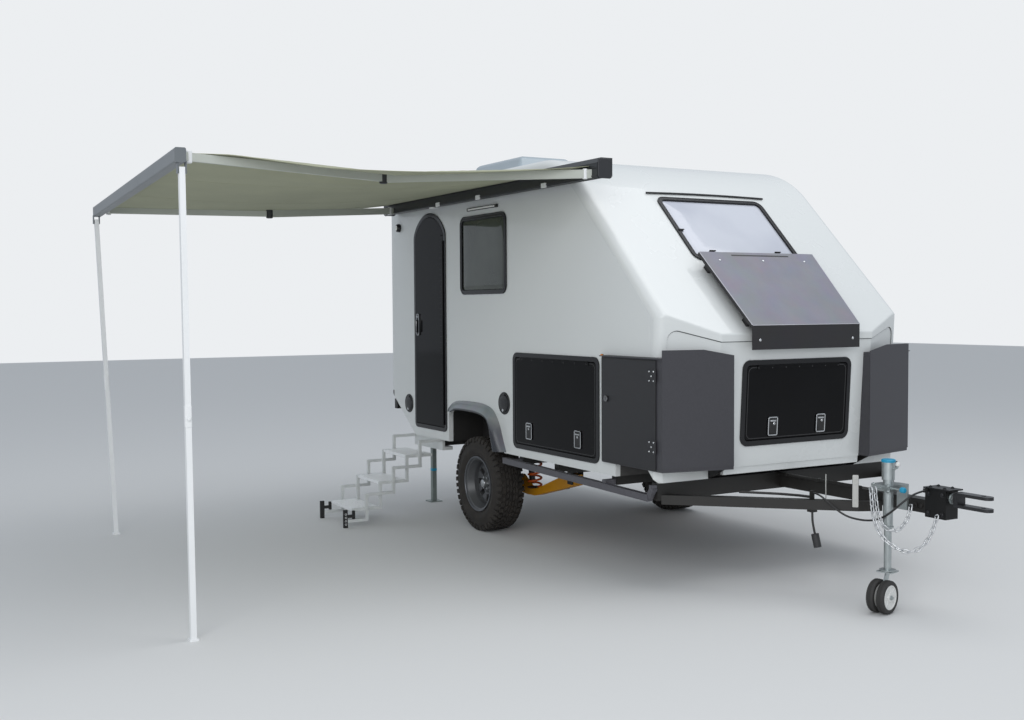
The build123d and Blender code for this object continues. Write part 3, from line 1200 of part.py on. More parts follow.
def make_chains():
    """Two hanging safety chains, link by link, flat and edgeways in turn."""
    links = []
    for route in CHAIN_ROUTES:
        line = Spline(*route)
        count = int(line.length / CHAIN_PITCH)
        count -= 1 - count % 2
        stops = [line @ (index / count) for index in range(count + 1)]
        for number, (before, after) in enumerate(zip(stops, stops[1:])):
            along = after - before
            side = along.cross(Vector(0, 1, 0)).normalized()
            level = side.cross(along).normalized()
            plane = Plane(origin=(before + after) * 0.5, x_dir=along, z_dir=side if number % 2 else level)
            links.append(plane * chain_link(along.length))
    parts["safety_chains"] = solids_of(links)


def cord_path(points):
    """Straight runs joined by tangent arcs, with the radius rule of a limp lead."""
    spots = [Vector(*point) for point in points]
    radii = []
    for before, here, after in zip(spots, spots[1:], spots[2:]):
        turn = math.radians((here - before).get_angle(after - here))
        shorter = min((here - before).length, (after - here).length)
        radii.append(0.45 * shorter / math.tan(turn / 2))
    print("radii", [round(radius) for radius in radii])
    return FilletPolyline(*points, radius=radii)


def cord_tube(points, diameter):
    """The tube of one lead."""
    path = cord_path(points)
    section = Plane(origin=path @ 0, z_dir=path % 0) * Circle(diameter / 2)
    tube = sweep(section, path=path)
    print("tube share", round(tube.volume / (math.pi * diameter ** 2 / 4 * path.length), 4))
    return tube


def make_leads():
    """The loop lead, and the plug lead with its plug."""
    parts["loop_lead"] = cord_tube(LOOP_LEAD, LOOP_LEAD_D)
    parts["plug_lead"] = cord_tube(PLUG_LEAD, PLUG_LEAD_D)
    end = Vector(*PLUG_LEAD[-1])
    ahead = end - Vector(*PLUG_LEAD[-2])
    parts["lead_plug"] = extrude(Plane(origin=end, z_dir=ahead) * Circle(24), amount=84)
    half = SPINE_SIZE / 2
    exit_x, exit_y, exit_z = LOOP_LEAD[0]
    end_x, end_y, end_z = LOOP_LEAD[-1]
    plug_x, plug_y, plug_z = PLUG_LEAD[0]
    arm_z0 = CHASSIS_Z0 - DRAWBAR_ARM_DROP
    tip_x, tip_y = DRAWBAR_ARM_TIP
    along = Vector(tip_x - BEAM_X, DRAWBAR_ARM_FOOT_Y - tip_y).normalized()
    strap_plane = Plane(origin=(tip_x, -tip_y, 0), x_dir=along, z_dir=(0, 0, 1))
    strap = strap_plane * block(-STRAP_W, 0, -STRAP_THICK, 0, arm_z0 + 20, STRAP_TOP)
    clips = [
        strap,
        block(exit_x - 20, exit_x, exit_y - 12, exit_y + 12, arm_z0 + DRAWBAR_ARM_H, exit_z + 12),
        block(end_x - 16, end_x + 16, end_y, -COUPLER_HALF_Y, end_z - 12, end_z + 12),
        block(plug_x - 22, plug_x + 22, plug_y - 24, plug_y + 20, plug_z, arm_z0)]
    peg_x, peg_y, peg_z = CHAIN_PEGS[2]
    eye = block(peg_x - 14, peg_x + 14, -half - 8, -half, peg_z - 14, peg_z + 14)
    clips.append(eye + rod((peg_x, -half, peg_z), (peg_x, peg_y - CHAIN_WIRE - 8, peg_z), CHAIN_PEG_R))
    parts["drawbar_clips"] = solids_of(clips)


make_shell()
make_frames()
make_door()
make_hatches()
make_lockers()
make_guard()
make_wheels()
make_flares()
make_chassis()
make_coupling()
make_jack()
make_awning()
make_steps()
make_steadies()
make_fittings()
make_chains()
make_leads()

os.makedirs("parts", exist_ok=True)
for node, shape in parts.items():
    placed = Pos(-COUPLING_PIN_X, 0, -COUPLING_Z) * shape
    export_step(placed, "parts/" + node + ".step")
    print(node, len(shape.solids()), round(shape.volume / 1e6, 2))
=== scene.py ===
import math

import bmesh
import bpy
from bpy.props import FloatProperty, FloatVectorProperty, IntProperty, PointerProperty
from mathutils import Matrix, Vector
from mathutils.bvhtree import BVHTree


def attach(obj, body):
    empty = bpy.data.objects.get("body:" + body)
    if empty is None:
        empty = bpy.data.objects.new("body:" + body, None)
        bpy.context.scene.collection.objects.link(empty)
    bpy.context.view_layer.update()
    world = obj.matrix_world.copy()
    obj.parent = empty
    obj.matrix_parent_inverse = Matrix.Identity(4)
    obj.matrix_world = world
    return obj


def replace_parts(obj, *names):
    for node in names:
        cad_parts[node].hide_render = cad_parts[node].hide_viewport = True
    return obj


bl_info = {
    "name": "Off-road camper trailer",
    "version": (1, 0, 0),
    "blender": (4, 5, 0),
    "location": "3D View > Sidebar > Trailer",
    "description": "Dresses the solid model of a camper trailer with finishes and fine pieces",
    "category": "Object",
}

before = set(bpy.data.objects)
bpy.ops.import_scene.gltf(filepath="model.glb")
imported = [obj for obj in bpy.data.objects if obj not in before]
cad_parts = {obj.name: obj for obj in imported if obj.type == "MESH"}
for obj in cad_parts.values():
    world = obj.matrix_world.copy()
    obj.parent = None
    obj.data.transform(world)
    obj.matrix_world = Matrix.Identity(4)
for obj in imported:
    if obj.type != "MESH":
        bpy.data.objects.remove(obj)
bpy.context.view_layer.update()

# Places are measured from the ground under the axle; the model's origin is the coupling pin.
AXLE_TO_PIN = 4.040
PIN_HEIGHT = 0.705
HALF_WIDTH = 1.073
REAR_X = -1.680
BODY_BOTTOM = 0.690
FOLD_X = 2.592
FOLD_Z = 1.646
NOSE_FOOT_X = 2.537
NOSE_HATCH_Z = 1.190
NOSE_RECESS = 0.008

SIDES = (-1, 1)
SIDE_NAMES = {-1: "right", 1: "left"}
AHEAD = (1, 0, 0)
ASTERN = (-1, 0, 0)
TO_RIGHT = (0, -1, 0)
UPWARD = (0, 0, 1)
DOWNWARD = (0, 0, -1)

# Camera: yaw, pitch and roll in degrees, place, and focal length in millimetres.
CAMERA_ANGLES = (29.961, 2.542, -0.344)
CAMERA_PLACE = (8.3436, -5.5355, 1.819)
CAMERA_LENS = 40.88
FLOOR_HALF = 40
SKY_GLOW = ((0.80, 0.86, 0.94, 1), 0.66)
SKY_SEEN = ((0.84, 0.86, 0.88, 1), 1.0)
# Lamps: name, place, aim, size and power.
LAMPS = (
    ("high_softbox", (3.0, 1.5, 9.0), (0.9, 0.0, 1.6), 7.0, 265),
    ("front_softbox", (9.5, -7.5, 4.5), (1.2, 0.0, 1.3), 6.0, 370))

# The flare's corners where it meets the wall, and the same corners at its lip: x and z.
FLARE_ROOT = (
    (0.506, 0.701), (0.453, 0.800), (0.391, 0.942), (0.246, 1.059), (-0.254, 1.058), (-0.401, 1.031),
    (-0.492, 0.974), (-0.492, 0.957))
FLARE_LIP = (
    (0.440, 0.701), (0.408, 0.800), (0.377, 0.883), (0.297, 0.995), (-0.200, 1.003), (-0.280, 0.975),
    (-0.306, 0.962), (-0.316, 0.957))
FLARE_PROUD = 0.082
# The lip's roll: distance past the lip, and how far it stands back.
FLARE_ROLL = ((-0.001, 0.002), (0.005, 0), (0.016, 0.001), (0.019, 0.004), (0.016, 0.008))
SEAM_CORNER = (-0.952, 1.6116)
SEAM_RADIUS = 0.0575
SEAM_MIDDLE_Z = 1.5955
SEAM_FLAT_HALF = 0.672
SEAM_FOOT_Z = 1.504
SEAM_AHEAD = 3.2

# Panes: distance in from the edge, and height of the bow.
PANE_BOW = ((0, -0.004), (0, 0.002), (0.010, 0.007), (0.040, 0.0095), (0.120, 0.0105), (0.200, 0.011))
PANE_RADIUS = 0.036
FRONT_PANE_X = 1.866
SIDE_PANE = (0.148, 2.252)
REAR_PANE = (0, 2.150)
STAYS = ((-0.302, -0.245), (0.297, -0.245), (-0.458, -0.03))
DRIP_RAIL_X = 1.600
DRIP_RAIL_STATIONS = [-0.545 + 0.109 * index for index in range(11)]

# Turned forms are (radius, height) pairs.
PORCH_HOOD = ((0.038, 0), (0.038, 0.012), (0.036, 0.024), (0.028, 0.034), (0.012, 0.039))
PORCH_DOME = ((0.024, 0.030), (0.024, 0.036), (0.016, 0.0395))
MARKER = (1.828, 1.500)
PORCH_LAMP = (-1.450, 2.560)
PORCH_STRIP = (0.150, 2.622)
TAIL_LAMP = (0.930, 1.210)
# Lenses of a tail lamp: name, rise, height and finish.
TAIL_LENSES = (
    ("stop", 0.045, 0.140, "red_lens"), ("turn", -0.062, 0.060, "amber_lens"),
    ("reverse", -0.108, 0.026, "white_lens"))
LENS_RIB = 0.012
# Service ports: x, z and radius; then distance in from the rim, and height.
PORTS = ((0.480, 1.080, 0.088), (-1.271, 0.964, 0.084))
PORT_STEPS = (
    (0, 0), (0, 0.004), (0.004, 0.008), (0.012, 0.009), (0.014, 0.005), (0.018, 0.005), (0.020, 0.010),
    (0.026, 0.0115))
PORT_LOCK = ((0.012, 0.010), (0.012, 0.015), (0.009, 0.017), (0.003, 0.0165))
# The roof unit's slats: x of the slope's foot and of its top, foot's height and rise.
SLAT_SLOPE = (-1.566, -1.468, 2.905, 0.272)
SLATS = 7

SIDE_HATCH = (1.210, 1.117)
KEY_BARREL = ((0.010, 0), (0.010, 0.006), (0.008, 0.008), (0.003, 0.0075))
DOOR_BARREL = ((0.011, 0), (0.011, 0.006), (0.009, 0.008), (0.003, 0.0075))
DOOR_HANDLE = (-1.042, 1.680)
HINGE_RIVETS_X = (-0.566, -0.590)
HINGE_RIVETS_Z = 0.860
HINGE_RIVETS_PITCH = 0.048
HINGE_RIVETS = 34

LID_LOCK = ((0.021, 0), (0.021, 0.003), (0.017, 0.0055), (0.013, 0.0035), (0.003, 0.0037))
LID_LOCK_PLACE = (1.926, 1.212)
LID_MIDDLE = (2.167, 1.136)
LID_HINGES_Z = (0.935, 1.385)
LID_HINGE_BOLTS = ((2.402, 0.030), (2.402, -0.030), (2.424, 0), (2.448, 0.030), (2.448, -0.030))
GUARD_BOLTS = (2.165, (-0.385, 0.0, 0.385))
GUARD_FRONT_BOLTS = ((2.6595, -0.413, 1.605), (2.6595, 0.413, 1.605))
GUARD_SLOT = (2.128, 0.006)
GUARD_EDGE = (
    (2.106, -0.516), (2.594, -0.4785), (2.598, -0.4745), (2.598, 0.4745), (2.594, 0.4785), (2.106, 0.516))

WHEEL_MIDDLE = (0.949, 0.387)
RIM_LIP = ((0.211, 0.1095), (0.2245, 0.1100), (0.2250, 0.1135), (0.2215, 0.1150), (0.2130, 0.1130))
WHEEL_NUT = ((0.0105, 0), (0.0105, 0.014), (0.0085, 0.019), (0.004, 0.021))
WHEEL_NUTS = 6
WHEEL_NUTS_RADIUS = 0.049
HUB_CAP = ((0.0335, 0.022), (0.0335, 0.060), (0.031, 0.064), (0.024, 0.0665), (0.008, 0.067))
VALVE = ((0.005, 0), (0.005, 0.022), (0.0035, 0.026))
VALVE_TURN = 0.6
VALVE_RADIUS = 0.186
# Half of the tyre's section from the bead to the tread: radius, and distance from its middle.
TYRE_SIDE = (
    (0.209, 0.090), (0.226, 0.1035), (0.234, 0.110), (0.241, 0.110), (0.248, 0.116), (0.268, 0.1215),
    (0.272, 0.1235), (0.292, 0.1235), (0.296, 0.1215), (0.322, 0.1195), (0.342, 0.1130), (0.357, 0.1035),
    (0.366, 0.0920), (0.3725, 0.0740), (0.3740, 0.0400), (0.3745, 0.0))
TYRE_CROWN = 0.3868
# The tread's rows on one half: near edge, far edge, share of the pitch, skew and half a pitch's shift.
TREAD_ROWS = ((0.004, 0.024, 0.74, 0.35, 0), (0.029, 0.054, 0.70, -0.30, 1), (0.060, 0.090, 0.66, 0.10, 0))
LUG_SHARE = 0.62
LUG_EASE = 0.0012

SPRING = (0.300, 0.690)
SPRING_RADIUS = 0.053
SPRING_FOOT = 0.379
SPRING_HEIGHT = 0.281
SPRING_TURNS = 5
SPRING_SEAT = ((0.060, 0), (0.064, 0.003), (0.060, 0.006), (0.040, 0.007))
SPRING_SEATS_Z = (0.366, 0.671)
ARM_PIN_PLACE = (0.900, 0.505)
ARM_PIN = ((0.024, 0.038), (0.024, 0.046), (0.014, 0.048), (0.014, 0.056), (0.008, 0.058))

RAIL_BOLTS = (2.380, (0.690, 0.780), 0.5905)
DRAWBAR_BOLTS = ((3.30, 3.36, 3.60, 3.64), -0.0405, 0.640)
STRAP = ((3.2681, -0.1919, 0.690), (0.719, -0.695, 0))
STRAP_BOLTS = (-0.075, -0.045, 0.045, 0.075)
RIGGING_PIN = ((3.125, -0.295, 0.631), (3.125, -0.296, 0.710), (3.125, -0.296, 0.786))
BRAKE_ROD = ((2.440, -0.050, 0.691), (2.80, -0.050, 0.691), (3.180, -0.050, 0.691))
ROD_CLIPS = ((2.52, 2.82, 3.12), -0.050, 0.680)
CONDUIT = ((2.646, -0.568, 0.634), (2.760, -0.474, 0.634), (2.841, -0.408, 0.634), (2.950, -0.350, 0.634),
           (3.030, -0.330, 0.634))
CONDUIT_OFFSETS = (-0.008, 0.009)

# The coupler's bolts: along, up its sides, out to its sides, and across its top.
COUPLER_BOLTS_X = (3.700, 3.800)
COUPLER_BOLTS_Z = (0.610, 0.725)
COUPLER_HALF = 0.052
COUPLER_TOP = 0.760
COUPLER_TOP_BOLTS_Y = (-0.034, 0.034)
STEADY_CLIP = (-1.515, 0.715, 0.290)

JACK_SPOT = (3.505, -0.170)
JACK_COLLAR_Z = 0.502
JACK_CLAMP_X = (3.425, 3.535)
JACK_CLAMP_Z = (0.724, 0.756)
JACK_KNOB_Z = 0.876
JACK_CAP_Z = 0.903
JACK_CAP_RADIUS = 0.0395
JACK_AXLE = (3.5200, -0.2302, 0.100)
JACK_YAW = math.radians(14)
JACK_TYRE = (
    (0.072, 0.011), (0.078, 0.008), (0.094, 0.010), (0.0985, 0.016), (0.0995, 0.024), (0.0975, 0.026),
    (0.0975, 0.030), (0.100, 0.032), (0.0975, 0.034), (0.0975, 0.038), (0.0995, 0.040), (0.0985, 0.048),
    (0.094, 0.054), (0.078, 0.056), (0.072, 0.053))
JACK_HUB = (
    (0.0095, 0.007), (0.060, 0.009), (0.0725, 0.010), (0.0725, 0.054), (0.066, 0.0555), (0.063, 0.051),
    (0.030, 0.049), (0.027, 0.056), (0.0095, 0.057))
JACK_AXLE_NUT = ((0.015, 0.0565), (0.015, 0.0600), (0.012, 0.0625), (0.003, 0.063))
# The crank's bends, measured from the jack's own axis: x and z.
JACK_CRANK = ((0.034, 0.860), (0.052, 0.861), (0.066, 0.866), (0.072, 0.880))
JACK_COLLAR = ((0.034, 0), (0.034, 0.010), (0.031, 0.012), (0.0295, 0.012))
JACK_KNOB = ((0.008, 0), (0.014, 0.004), (0.015, 0.014), (0.012, 0.022), (0.005, 0.025))
JACK_RIBS = 18
ROLL_SHAFT = (3.826, 0, 0.705)

CHAIN_WIRE_R = 0.0045
CHAIN_HALF_W = 0.0099
CHAIN_HALF_L = 0.0215
CHAIN_PITCH = 0.034
CHAIN_ROUTES = (
    ((3.476, -0.284, 0.746), (3.484, -0.285, 0.650), (3.500, -0.282, 0.560), (3.540, -0.272, 0.470),
     (3.604, -0.248, 0.418), (3.684, -0.206, 0.382), (3.752, -0.154, 0.420), (3.784, -0.106, 0.520),
     (3.792, -0.084, 0.610)),
    ((3.476, -0.250, 0.746), (3.486, -0.250, 0.660), (3.502, -0.248, 0.580), (3.530, -0.236, 0.514),
     (3.566, -0.200, 0.486), (3.594, -0.150, 0.512), (3.604, -0.104, 0.572), (3.600, -0.082, 0.644)))

LEAD_FRONT = (2.000, -3.930, 2.656)
LEAD_REAR = (-1.450, -3.730, 2.612)
CASE_EDGE = (-1.211, 2.758)
CASE_ENDS = (-1.490, 1.973)
CASE_FACE_Y = -1.210
# The case's mouldings: height above the ground, width and thickness.
CASE_LINES = ((2.688, 0.010, 0.004), (2.742, 0.006, 0.003), (2.770, 0.004, 0.002))
CASE_BRACKETS_X = (1.310, 0.328, -0.373)
CASE_BRACKETS_Z = 2.684
CASE_JOINT = (-0.505, -1.190, 2.672)
CASE_CAP = (-1.150, 2.737)
CASE_CAP_SCREWS = ((-0.04, 0.045), (0.04, 0.045), (0.04, -0.045))
CLOTH_ENDS = (-1.410, 1.885)
CLOTH_COLUMNS = 120
CLOTH_ROWS = 64
CLOTH_THICK = 0.0012
HEM_INSET = 0.016
HEM_LIFT = Vector((0, 0, 0.0016))
ARM_CREST = 0.036
ARM_SPREAD = 0.22
ARM_HALF_WIDTH = 0.03
ARM_JOINTS = (
    ((1.900, -1.198, 2.706), (1.350, -2.460, 2.668), (1.945, -3.912, 2.655)),
    ((-1.290, -1.198, 2.700), (-0.940, -2.470, 2.604), (-1.290, -3.722, 2.613)))
ARM_ELBOW = ((0.020, -0.036), (0.027, -0.032), (0.027, 0.032), (0.020, 0.036))
ARM_KNUCKLE = ((0.014, -0.034), (0.018, -0.031), (0.018, 0.031), (0.014, 0.034))
# Awning legs: body, the way that the knob faces, foot and head.
LEGS = (
    ("leg_front", 1, (1.970, -3.900, 0.006), (1.970, -3.918, 2.574)),
    ("leg_rear", -1, (-1.420, -3.640, 0.006), (-1.420, -3.742, 2.530)))
LEG_SLEEVE_Z = (1.18, 1.30)
LEG_KNOB = ((0.009, 0.018), (0.011, 0.021), (0.011, 0.030), (0.008, 0.033))

STEP_ENDS = (-1.184, -0.723)
STEP_EDGE = (-1.135, 0.568)
STEP_RUN = 0.250
STEP_RISE = 0.208
STEP_FEET = ((-0.672, 1), (-1.235, -1))
STEP_FEET_Y = -1.942
STEP_FEET_HOLES = (0.030, 0.058, 0.086, 0.114)
TREADS = 3
TREAD_DEPTH = 0.226
DIMPLE = ((0.0085, 0), (0.0078, 0.0018), (0.0060, 0.0018), (0.0052, 0))
DIMPLE_PITCH = (0.0345, 0.035)
DIMPLE_ROWS = 6
DIMPLE_COLUMNS = 12
EYELET = ((0.0085, 0), (0.0085, 0.0015), (0.0060, 0.0015), (0.0060, 0))

LOOP_LEAD = (
    (3.068, -0.346, 0.667), (3.118, -0.346, 0.664), (3.156, -0.318, 0.624), (3.203, -0.272, 0.566),
    (3.270, -0.240, 0.530), (3.400, -0.212, 0.527), (3.515, -0.226, 0.566), (3.600, -0.234, 0.622),
    (3.652, -0.216, 0.676), (3.676, -0.168, 0.716), (3.684, -0.112, 0.733), (3.688, -0.066, 0.738))
PLUG_LEAD = ((3.066, -0.350, 0.548), (3.066, -0.350, 0.500), (3.072, -0.346, 0.455), (3.081, -0.342, 0.412))

# Finishes: dark and pale colour, grain, lowest and highest roughness, and what differs from the usual.
FINISHES = {
    "roof_unit_plastic": (
        (0.34, 0.40, 0.44), (0.40, 0.46, 0.50), 300, (0.18, 0.28), {"bump": 0.05, "coat": 0.3}),
    "underfloor": ((0.05, 0.05, 0.05), (0.09, 0.085, 0.08), 90, (0.6, 0.8), {"bump": 0.3}),
    "arch_liner": ((0.010, 0.010, 0.010), (0.025, 0.023, 0.021), 160, (0.55, 0.8), {"bump": 0.4}),
    "black_trim": (
        (0.008, 0.008, 0.009), (0.013, 0.013, 0.015), 500, (0.18, 0.28), {"bump": 0.08, "gloss": 0.4}),
    "painted_seam_shadow": ((0.10, 0.11, 0.11), (0.15, 0.16, 0.16), 300, (0.5, 0.65), {}),
    "white_lens": ((0.78, 0.78, 0.74), (0.86, 0.86, 0.82), 220, (0.15, 0.25), {"bump": 0.2, "coat": 0.5}),
    "amber_lens": ((0.85, 0.26, 0.02), (0.95, 0.34, 0.03), 300, (0.12, 0.2), {"bump": 0.3, "coat": 0.6}),
    "red_lens": ((0.42, 0.010, 0.010), (0.55, 0.018, 0.014), 300, (0.12, 0.2), {"bump": 0.3, "coat": 0.6}),
    "fitting_steel": ((0.55, 0.56, 0.57), (0.70, 0.71, 0.72), 300, (0.2, 0.3), {"metal": 0.9}),
    "latch_chrome": ((0.46, 0.47, 0.48), (0.62, 0.63, 0.64), 200, (0.12, 0.2), {"metal": 0.95, "bump": 0.05}),
    "latch_tray": ((0.008, 0.008, 0.008), (0.016, 0.016, 0.016), 300, (0.35, 0.5), {}),
    "seal_rubber": ((0.020, 0.020, 0.021), (0.034, 0.034, 0.035), 300, (0.5, 0.65), {"bump": 0.2}),
    "bright_bolt": ((0.60, 0.61, 0.62), (0.76, 0.77, 0.78), 300, (0.2, 0.3), {"metal": 0.9}),
    "lock_dark": ((0.010, 0.010, 0.010), (0.020, 0.020, 0.020), 300, (0.3, 0.45), {}),
    "lock_ring": ((0.16, 0.16, 0.165), (0.24, 0.24, 0.25), 300, (0.25, 0.4), {"metal": 0.7}),
    "guard_edge_highlight": ((0.50, 0.50, 0.54), (0.66, 0.66, 0.70), 300, (0.35, 0.5), {}),
    "tyre_rubber": (
        (0.010, 0.009, 0.008), (0.048, 0.041, 0.035), 260, (0.75, 0.95), {"bump": 0.5, "blotch": 14}),
    "rim_paint": ((0.074, 0.076, 0.080), (0.112, 0.114, 0.118), 240, (0.30, 0.42), {"metal": 0.2}),
    "rim_lip_paint": ((0.10, 0.105, 0.115), (0.16, 0.165, 0.18), 240, (0.28, 0.4), {"metal": 0.6}),
    "wheel_nut": ((0.42, 0.43, 0.44), (0.60, 0.61, 0.62), 200, (0.25, 0.4), {"metal": 0.9}),
    "cast_hub": ((0.05, 0.048, 0.045), (0.10, 0.09, 0.08), 150, (0.5, 0.8), {"metal": 0.5, "bump": 0.5}),
    "arm_paint": ((0.52, 0.21, 0.004), (0.62, 0.29, 0.010), 180, (0.35, 0.5), {}),
    "spring_paint": ((0.55, 0.08, 0.012), (0.70, 0.13, 0.02), 220, (0.35, 0.5), {}),
    "damper_paint": ((0.02, 0.02, 0.02), (0.035, 0.035, 0.035), 220, (0.3, 0.45), {}),
    "slider_coat": (
        (0.072, 0.070, 0.080), (0.100, 0.098, 0.110), 600, (0.32, 0.42), {"bump": 0.3, "blotch": 40}),
    "plated_bolt": ((0.46, 0.46, 0.44), (0.62, 0.61, 0.58), 300, (0.25, 0.4), {"metal": 0.9, "bump": 0.15}),
    "coupler_coat": (
        (0.006, 0.006, 0.006), (0.012, 0.012, 0.012), 260, (0.35, 0.5), {"bump": 0.2, "gloss": 0.25}),
    "forged_steel": (
        (0.030, 0.030, 0.031), (0.070, 0.070, 0.074), 120, (0.3, 0.5), {"metal": 0.8, "bump": 0.3}),
    "zinc_plate": (
        (0.34, 0.37, 0.37), (0.54, 0.58, 0.58), 60, (0.25, 0.42),
        {"metal": 0.85, "bump": 0.15, "blotch": 18}),
    "dull_zinc": (
        (0.20, 0.23, 0.22), (0.30, 0.34, 0.32), 60, (0.35, 0.5), {"metal": 0.6, "bump": 0.15, "blotch": 18}),
    "grip_blue": ((0.015, 0.26, 0.44), (0.025, 0.36, 0.56), 200, (0.35, 0.5), {"bump": 0.15}),
    "wheel_rubber": ((0.018, 0.018, 0.018), (0.045, 0.042, 0.039), 260, (0.6, 0.8), {"bump": 0.3}),
    "cap_white": ((0.66, 0.66, 0.64), (0.76, 0.76, 0.74), 260, (0.35, 0.5), {}),
    "galvanised_link": (
        (0.55, 0.56, 0.57), (0.72, 0.73, 0.74), 200, (0.25, 0.4), {"metal": 0.9, "bump": 0.2, "blotch": 30}),
    "case_paint": ((0.016, 0.018, 0.020), (0.026, 0.028, 0.032), 400, (0.3, 0.42), {}),
    "rail_anodised": ((0.125, 0.138, 0.148), (0.170, 0.185, 0.195), 400, (0.28, 0.4), {}),
    "arm_enamel": ((0.46, 0.48, 0.43), (0.54, 0.56, 0.51), 300, (0.35, 0.5), {}),
    "leg_enamel": ((0.80, 0.81, 0.81), (0.88, 0.89, 0.89), 300, (0.3, 0.45), {}),
    "knuckle_cast": ((0.020, 0.021, 0.024), (0.035, 0.036, 0.040), 260, (0.4, 0.55), {"bump": 0.2}),
    "step_alloy": (
        (0.62, 0.64, 0.63), (0.75, 0.77, 0.76), 200, (0.35, 0.5), {"metal": 0.2, "bump": 0.2, "blotch": 12}),
    "foot_rubber": ((0.014, 0.014, 0.014), (0.024, 0.024, 0.024), 200, (0.6, 0.8), {"bump": 0.3}),
    "tread_alloy": ((0.86, 0.87, 0.87), (0.92, 0.93, 0.93), 240, (0.3, 0.42), {"metal": 0.1, "bump": 0.15}),
    "lead_sheath": ((0.014, 0.014, 0.015), (0.030, 0.029, 0.028), 300, (0.45, 0.6), {"bump": 0.15}),
    "plug_moulding": ((0.016, 0.016, 0.017), (0.030, 0.030, 0.031), 200, (0.4, 0.6), {"bump": 0.2}),
}


# Places

def spot(x, y, z):
    """A point measured from the ground under the axle, in the model's own frame."""
    return Vector((x - AXLE_TO_PIN, y, z - PIN_HEIGHT))


def placed(centre, forward, up=None):
    """The matrix of a piece at a point: its z faces forward, and its y is close to up."""
    z = Vector(forward).normalized()
    x = Vector(up or (UPWARD if abs(z.z) < 0.9 else AHEAD)).cross(z).normalized()
    return Matrix.Translation(centre) @ Matrix((x, z.cross(x), z)).transposed().to_4x4()


def at(x, y, z, forward, up=None):
    """The matrix of a piece at a place measured from the ground under the axle."""
    return placed(spot(x, y, z), forward, up)


def moved(place, x, y, z):
    """A place moved along its own axes."""
    return place @ Matrix.Translation((x, y, z))


def wall_place(x, z, side=-1, lift=0.0):
    """A place on a side wall, facing outwards."""
    return at(x, side * (HALF_WIDTH + lift), z, (0, side, 0))


def slope_place(x, y, lift=0.0):
    """A place on the sloped front, facing out of it, with up the slope as up."""
    stand = lift / math.sqrt(2)
    return at(x + stand, y, FOLD_X + FOLD_Z - x + stand, (1, 0, 1))


def rear_place(y, z, lift=0.0):
    """A place on the rear wall, facing backwards."""
    return at(REAR_X - lift, y, z, ASTERN)


def nose_hatch_place():
    """The middle of the nose hatch, facing out of its panel."""
    lean = (FOLD_X - NOSE_FOOT_X) / (FOLD_Z - BODY_BOTTOM)
    out = Vector((1, 0, -lean)).normalized()
    foot = Vector((NOSE_FOOT_X + lean * (NOSE_HATCH_Z - BODY_BOTTOM), 0, NOSE_HATCH_Z))
    return at(*(foot - NOSE_RECESS * out), out)


# Meshes

def add_piece(name, bm, body, finish, smooth_angle=35):
    """Turns a bmesh into an object with one finish that rides on a body."""
    mesh = bpy.data.meshes.new(name)
    bmesh.ops.recalc_face_normals(bm, faces=bm.faces)
    bm.to_mesh(mesh)
    bm.free()
    piece = bpy.data.objects.new(name, mesh)
    bpy.context.scene.collection.objects.link(piece)
    mesh.materials.append(coat_of(finish) if isinstance(finish, str) else finish)
    for face in mesh.polygons:
        face.use_smooth = True
    mesh.set_sharp_from_angle(angle=math.radians(smooth_angle))
    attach(piece, body)
    return piece


def build(name, body, finish, forms, smooth_angle=35):
    """Makes a piece out of forms, each a function with what it takes after the mesh."""
    bm = bmesh.new()
    for add, *values in forms:
        add(bm, *values)
    return add_piece(name, bm, body, finish, smooth_angle)


def skin(bm, rings, looped=False):
    """Skins rings of equally many points, with end caps or back to the first ring."""
    made = [[bm.verts.new(point) for point in ring] for ring in rings]
    for lower, upper in zip(made, made[1:] + made[:1] if looped else made[1:]):
        for index in range(len(lower)):
            after = (index + 1) % len(lower)
            bm.faces.new((lower[index], lower[after], upper[after], upper[index]))
    if not looped:
        bm.faces.new(list(reversed(made[0])))
        bm.faces.new(made[-1])


def turned(profile, matrix, turns):
    """Rings of points about the matrix's z from (radius, height) pairs."""
    angles = [2 * math.pi * index / turns for index in range(turns)]
    return [
        [matrix @ Vector((radius * math.cos(angle), radius * math.sin(angle), height)) for angle in angles]
        for radius, height in profile]


def add_lathe(bm, profile, matrix, turns=32):
    """Adds a turned form, capped at its ends."""
    skin(bm, turned(profile, matrix, turns))


def add_ring(bm, profile, matrix, turns):
    """Adds a turned ring whose profile closes on itself."""
    skin(bm, turned(profile, matrix, turns), looped=True)


def rounded_outline(width, height, radius, steps=6):
    """The points of a rounded rectangle about the origin."""
    points = []
    for side_x, side_y, start in ((1, 1, 0), (-1, 1, 90), (-1, -1, 180), (1, -1, 270)):
        centre_x = side_x * (width / 2 - radius)
        centre_y = side_y * (height / 2 - radius)
        for step in range(steps + 1):
            angle = math.radians(start + 90 * step / steps)
            points.append((centre_x + radius * math.cos(angle), centre_y + radius * math.sin(angle)))
    return points


def add_outlines(bm, matrix, levels, looped=False):
    """Skins outlines that lie at heights above the matrix's plane."""
    skin(bm, [[matrix @ Vector((x, y, level)) for x, y in points] for points, level in levels], looped)


def add_pad(bm, matrix, width, height, radius, thick, edge=0.001):
    """Adds a rounded plate that stands thick proud of the matrix's own plane, with eased edges."""
    outer = rounded_outline(width, height, radius)
    inner = rounded_outline(width - 2 * edge, height - 2 * edge, radius - edge)
    add_outlines(bm, matrix, ((outer, 0), (outer, thick - edge), (inner, thick)))


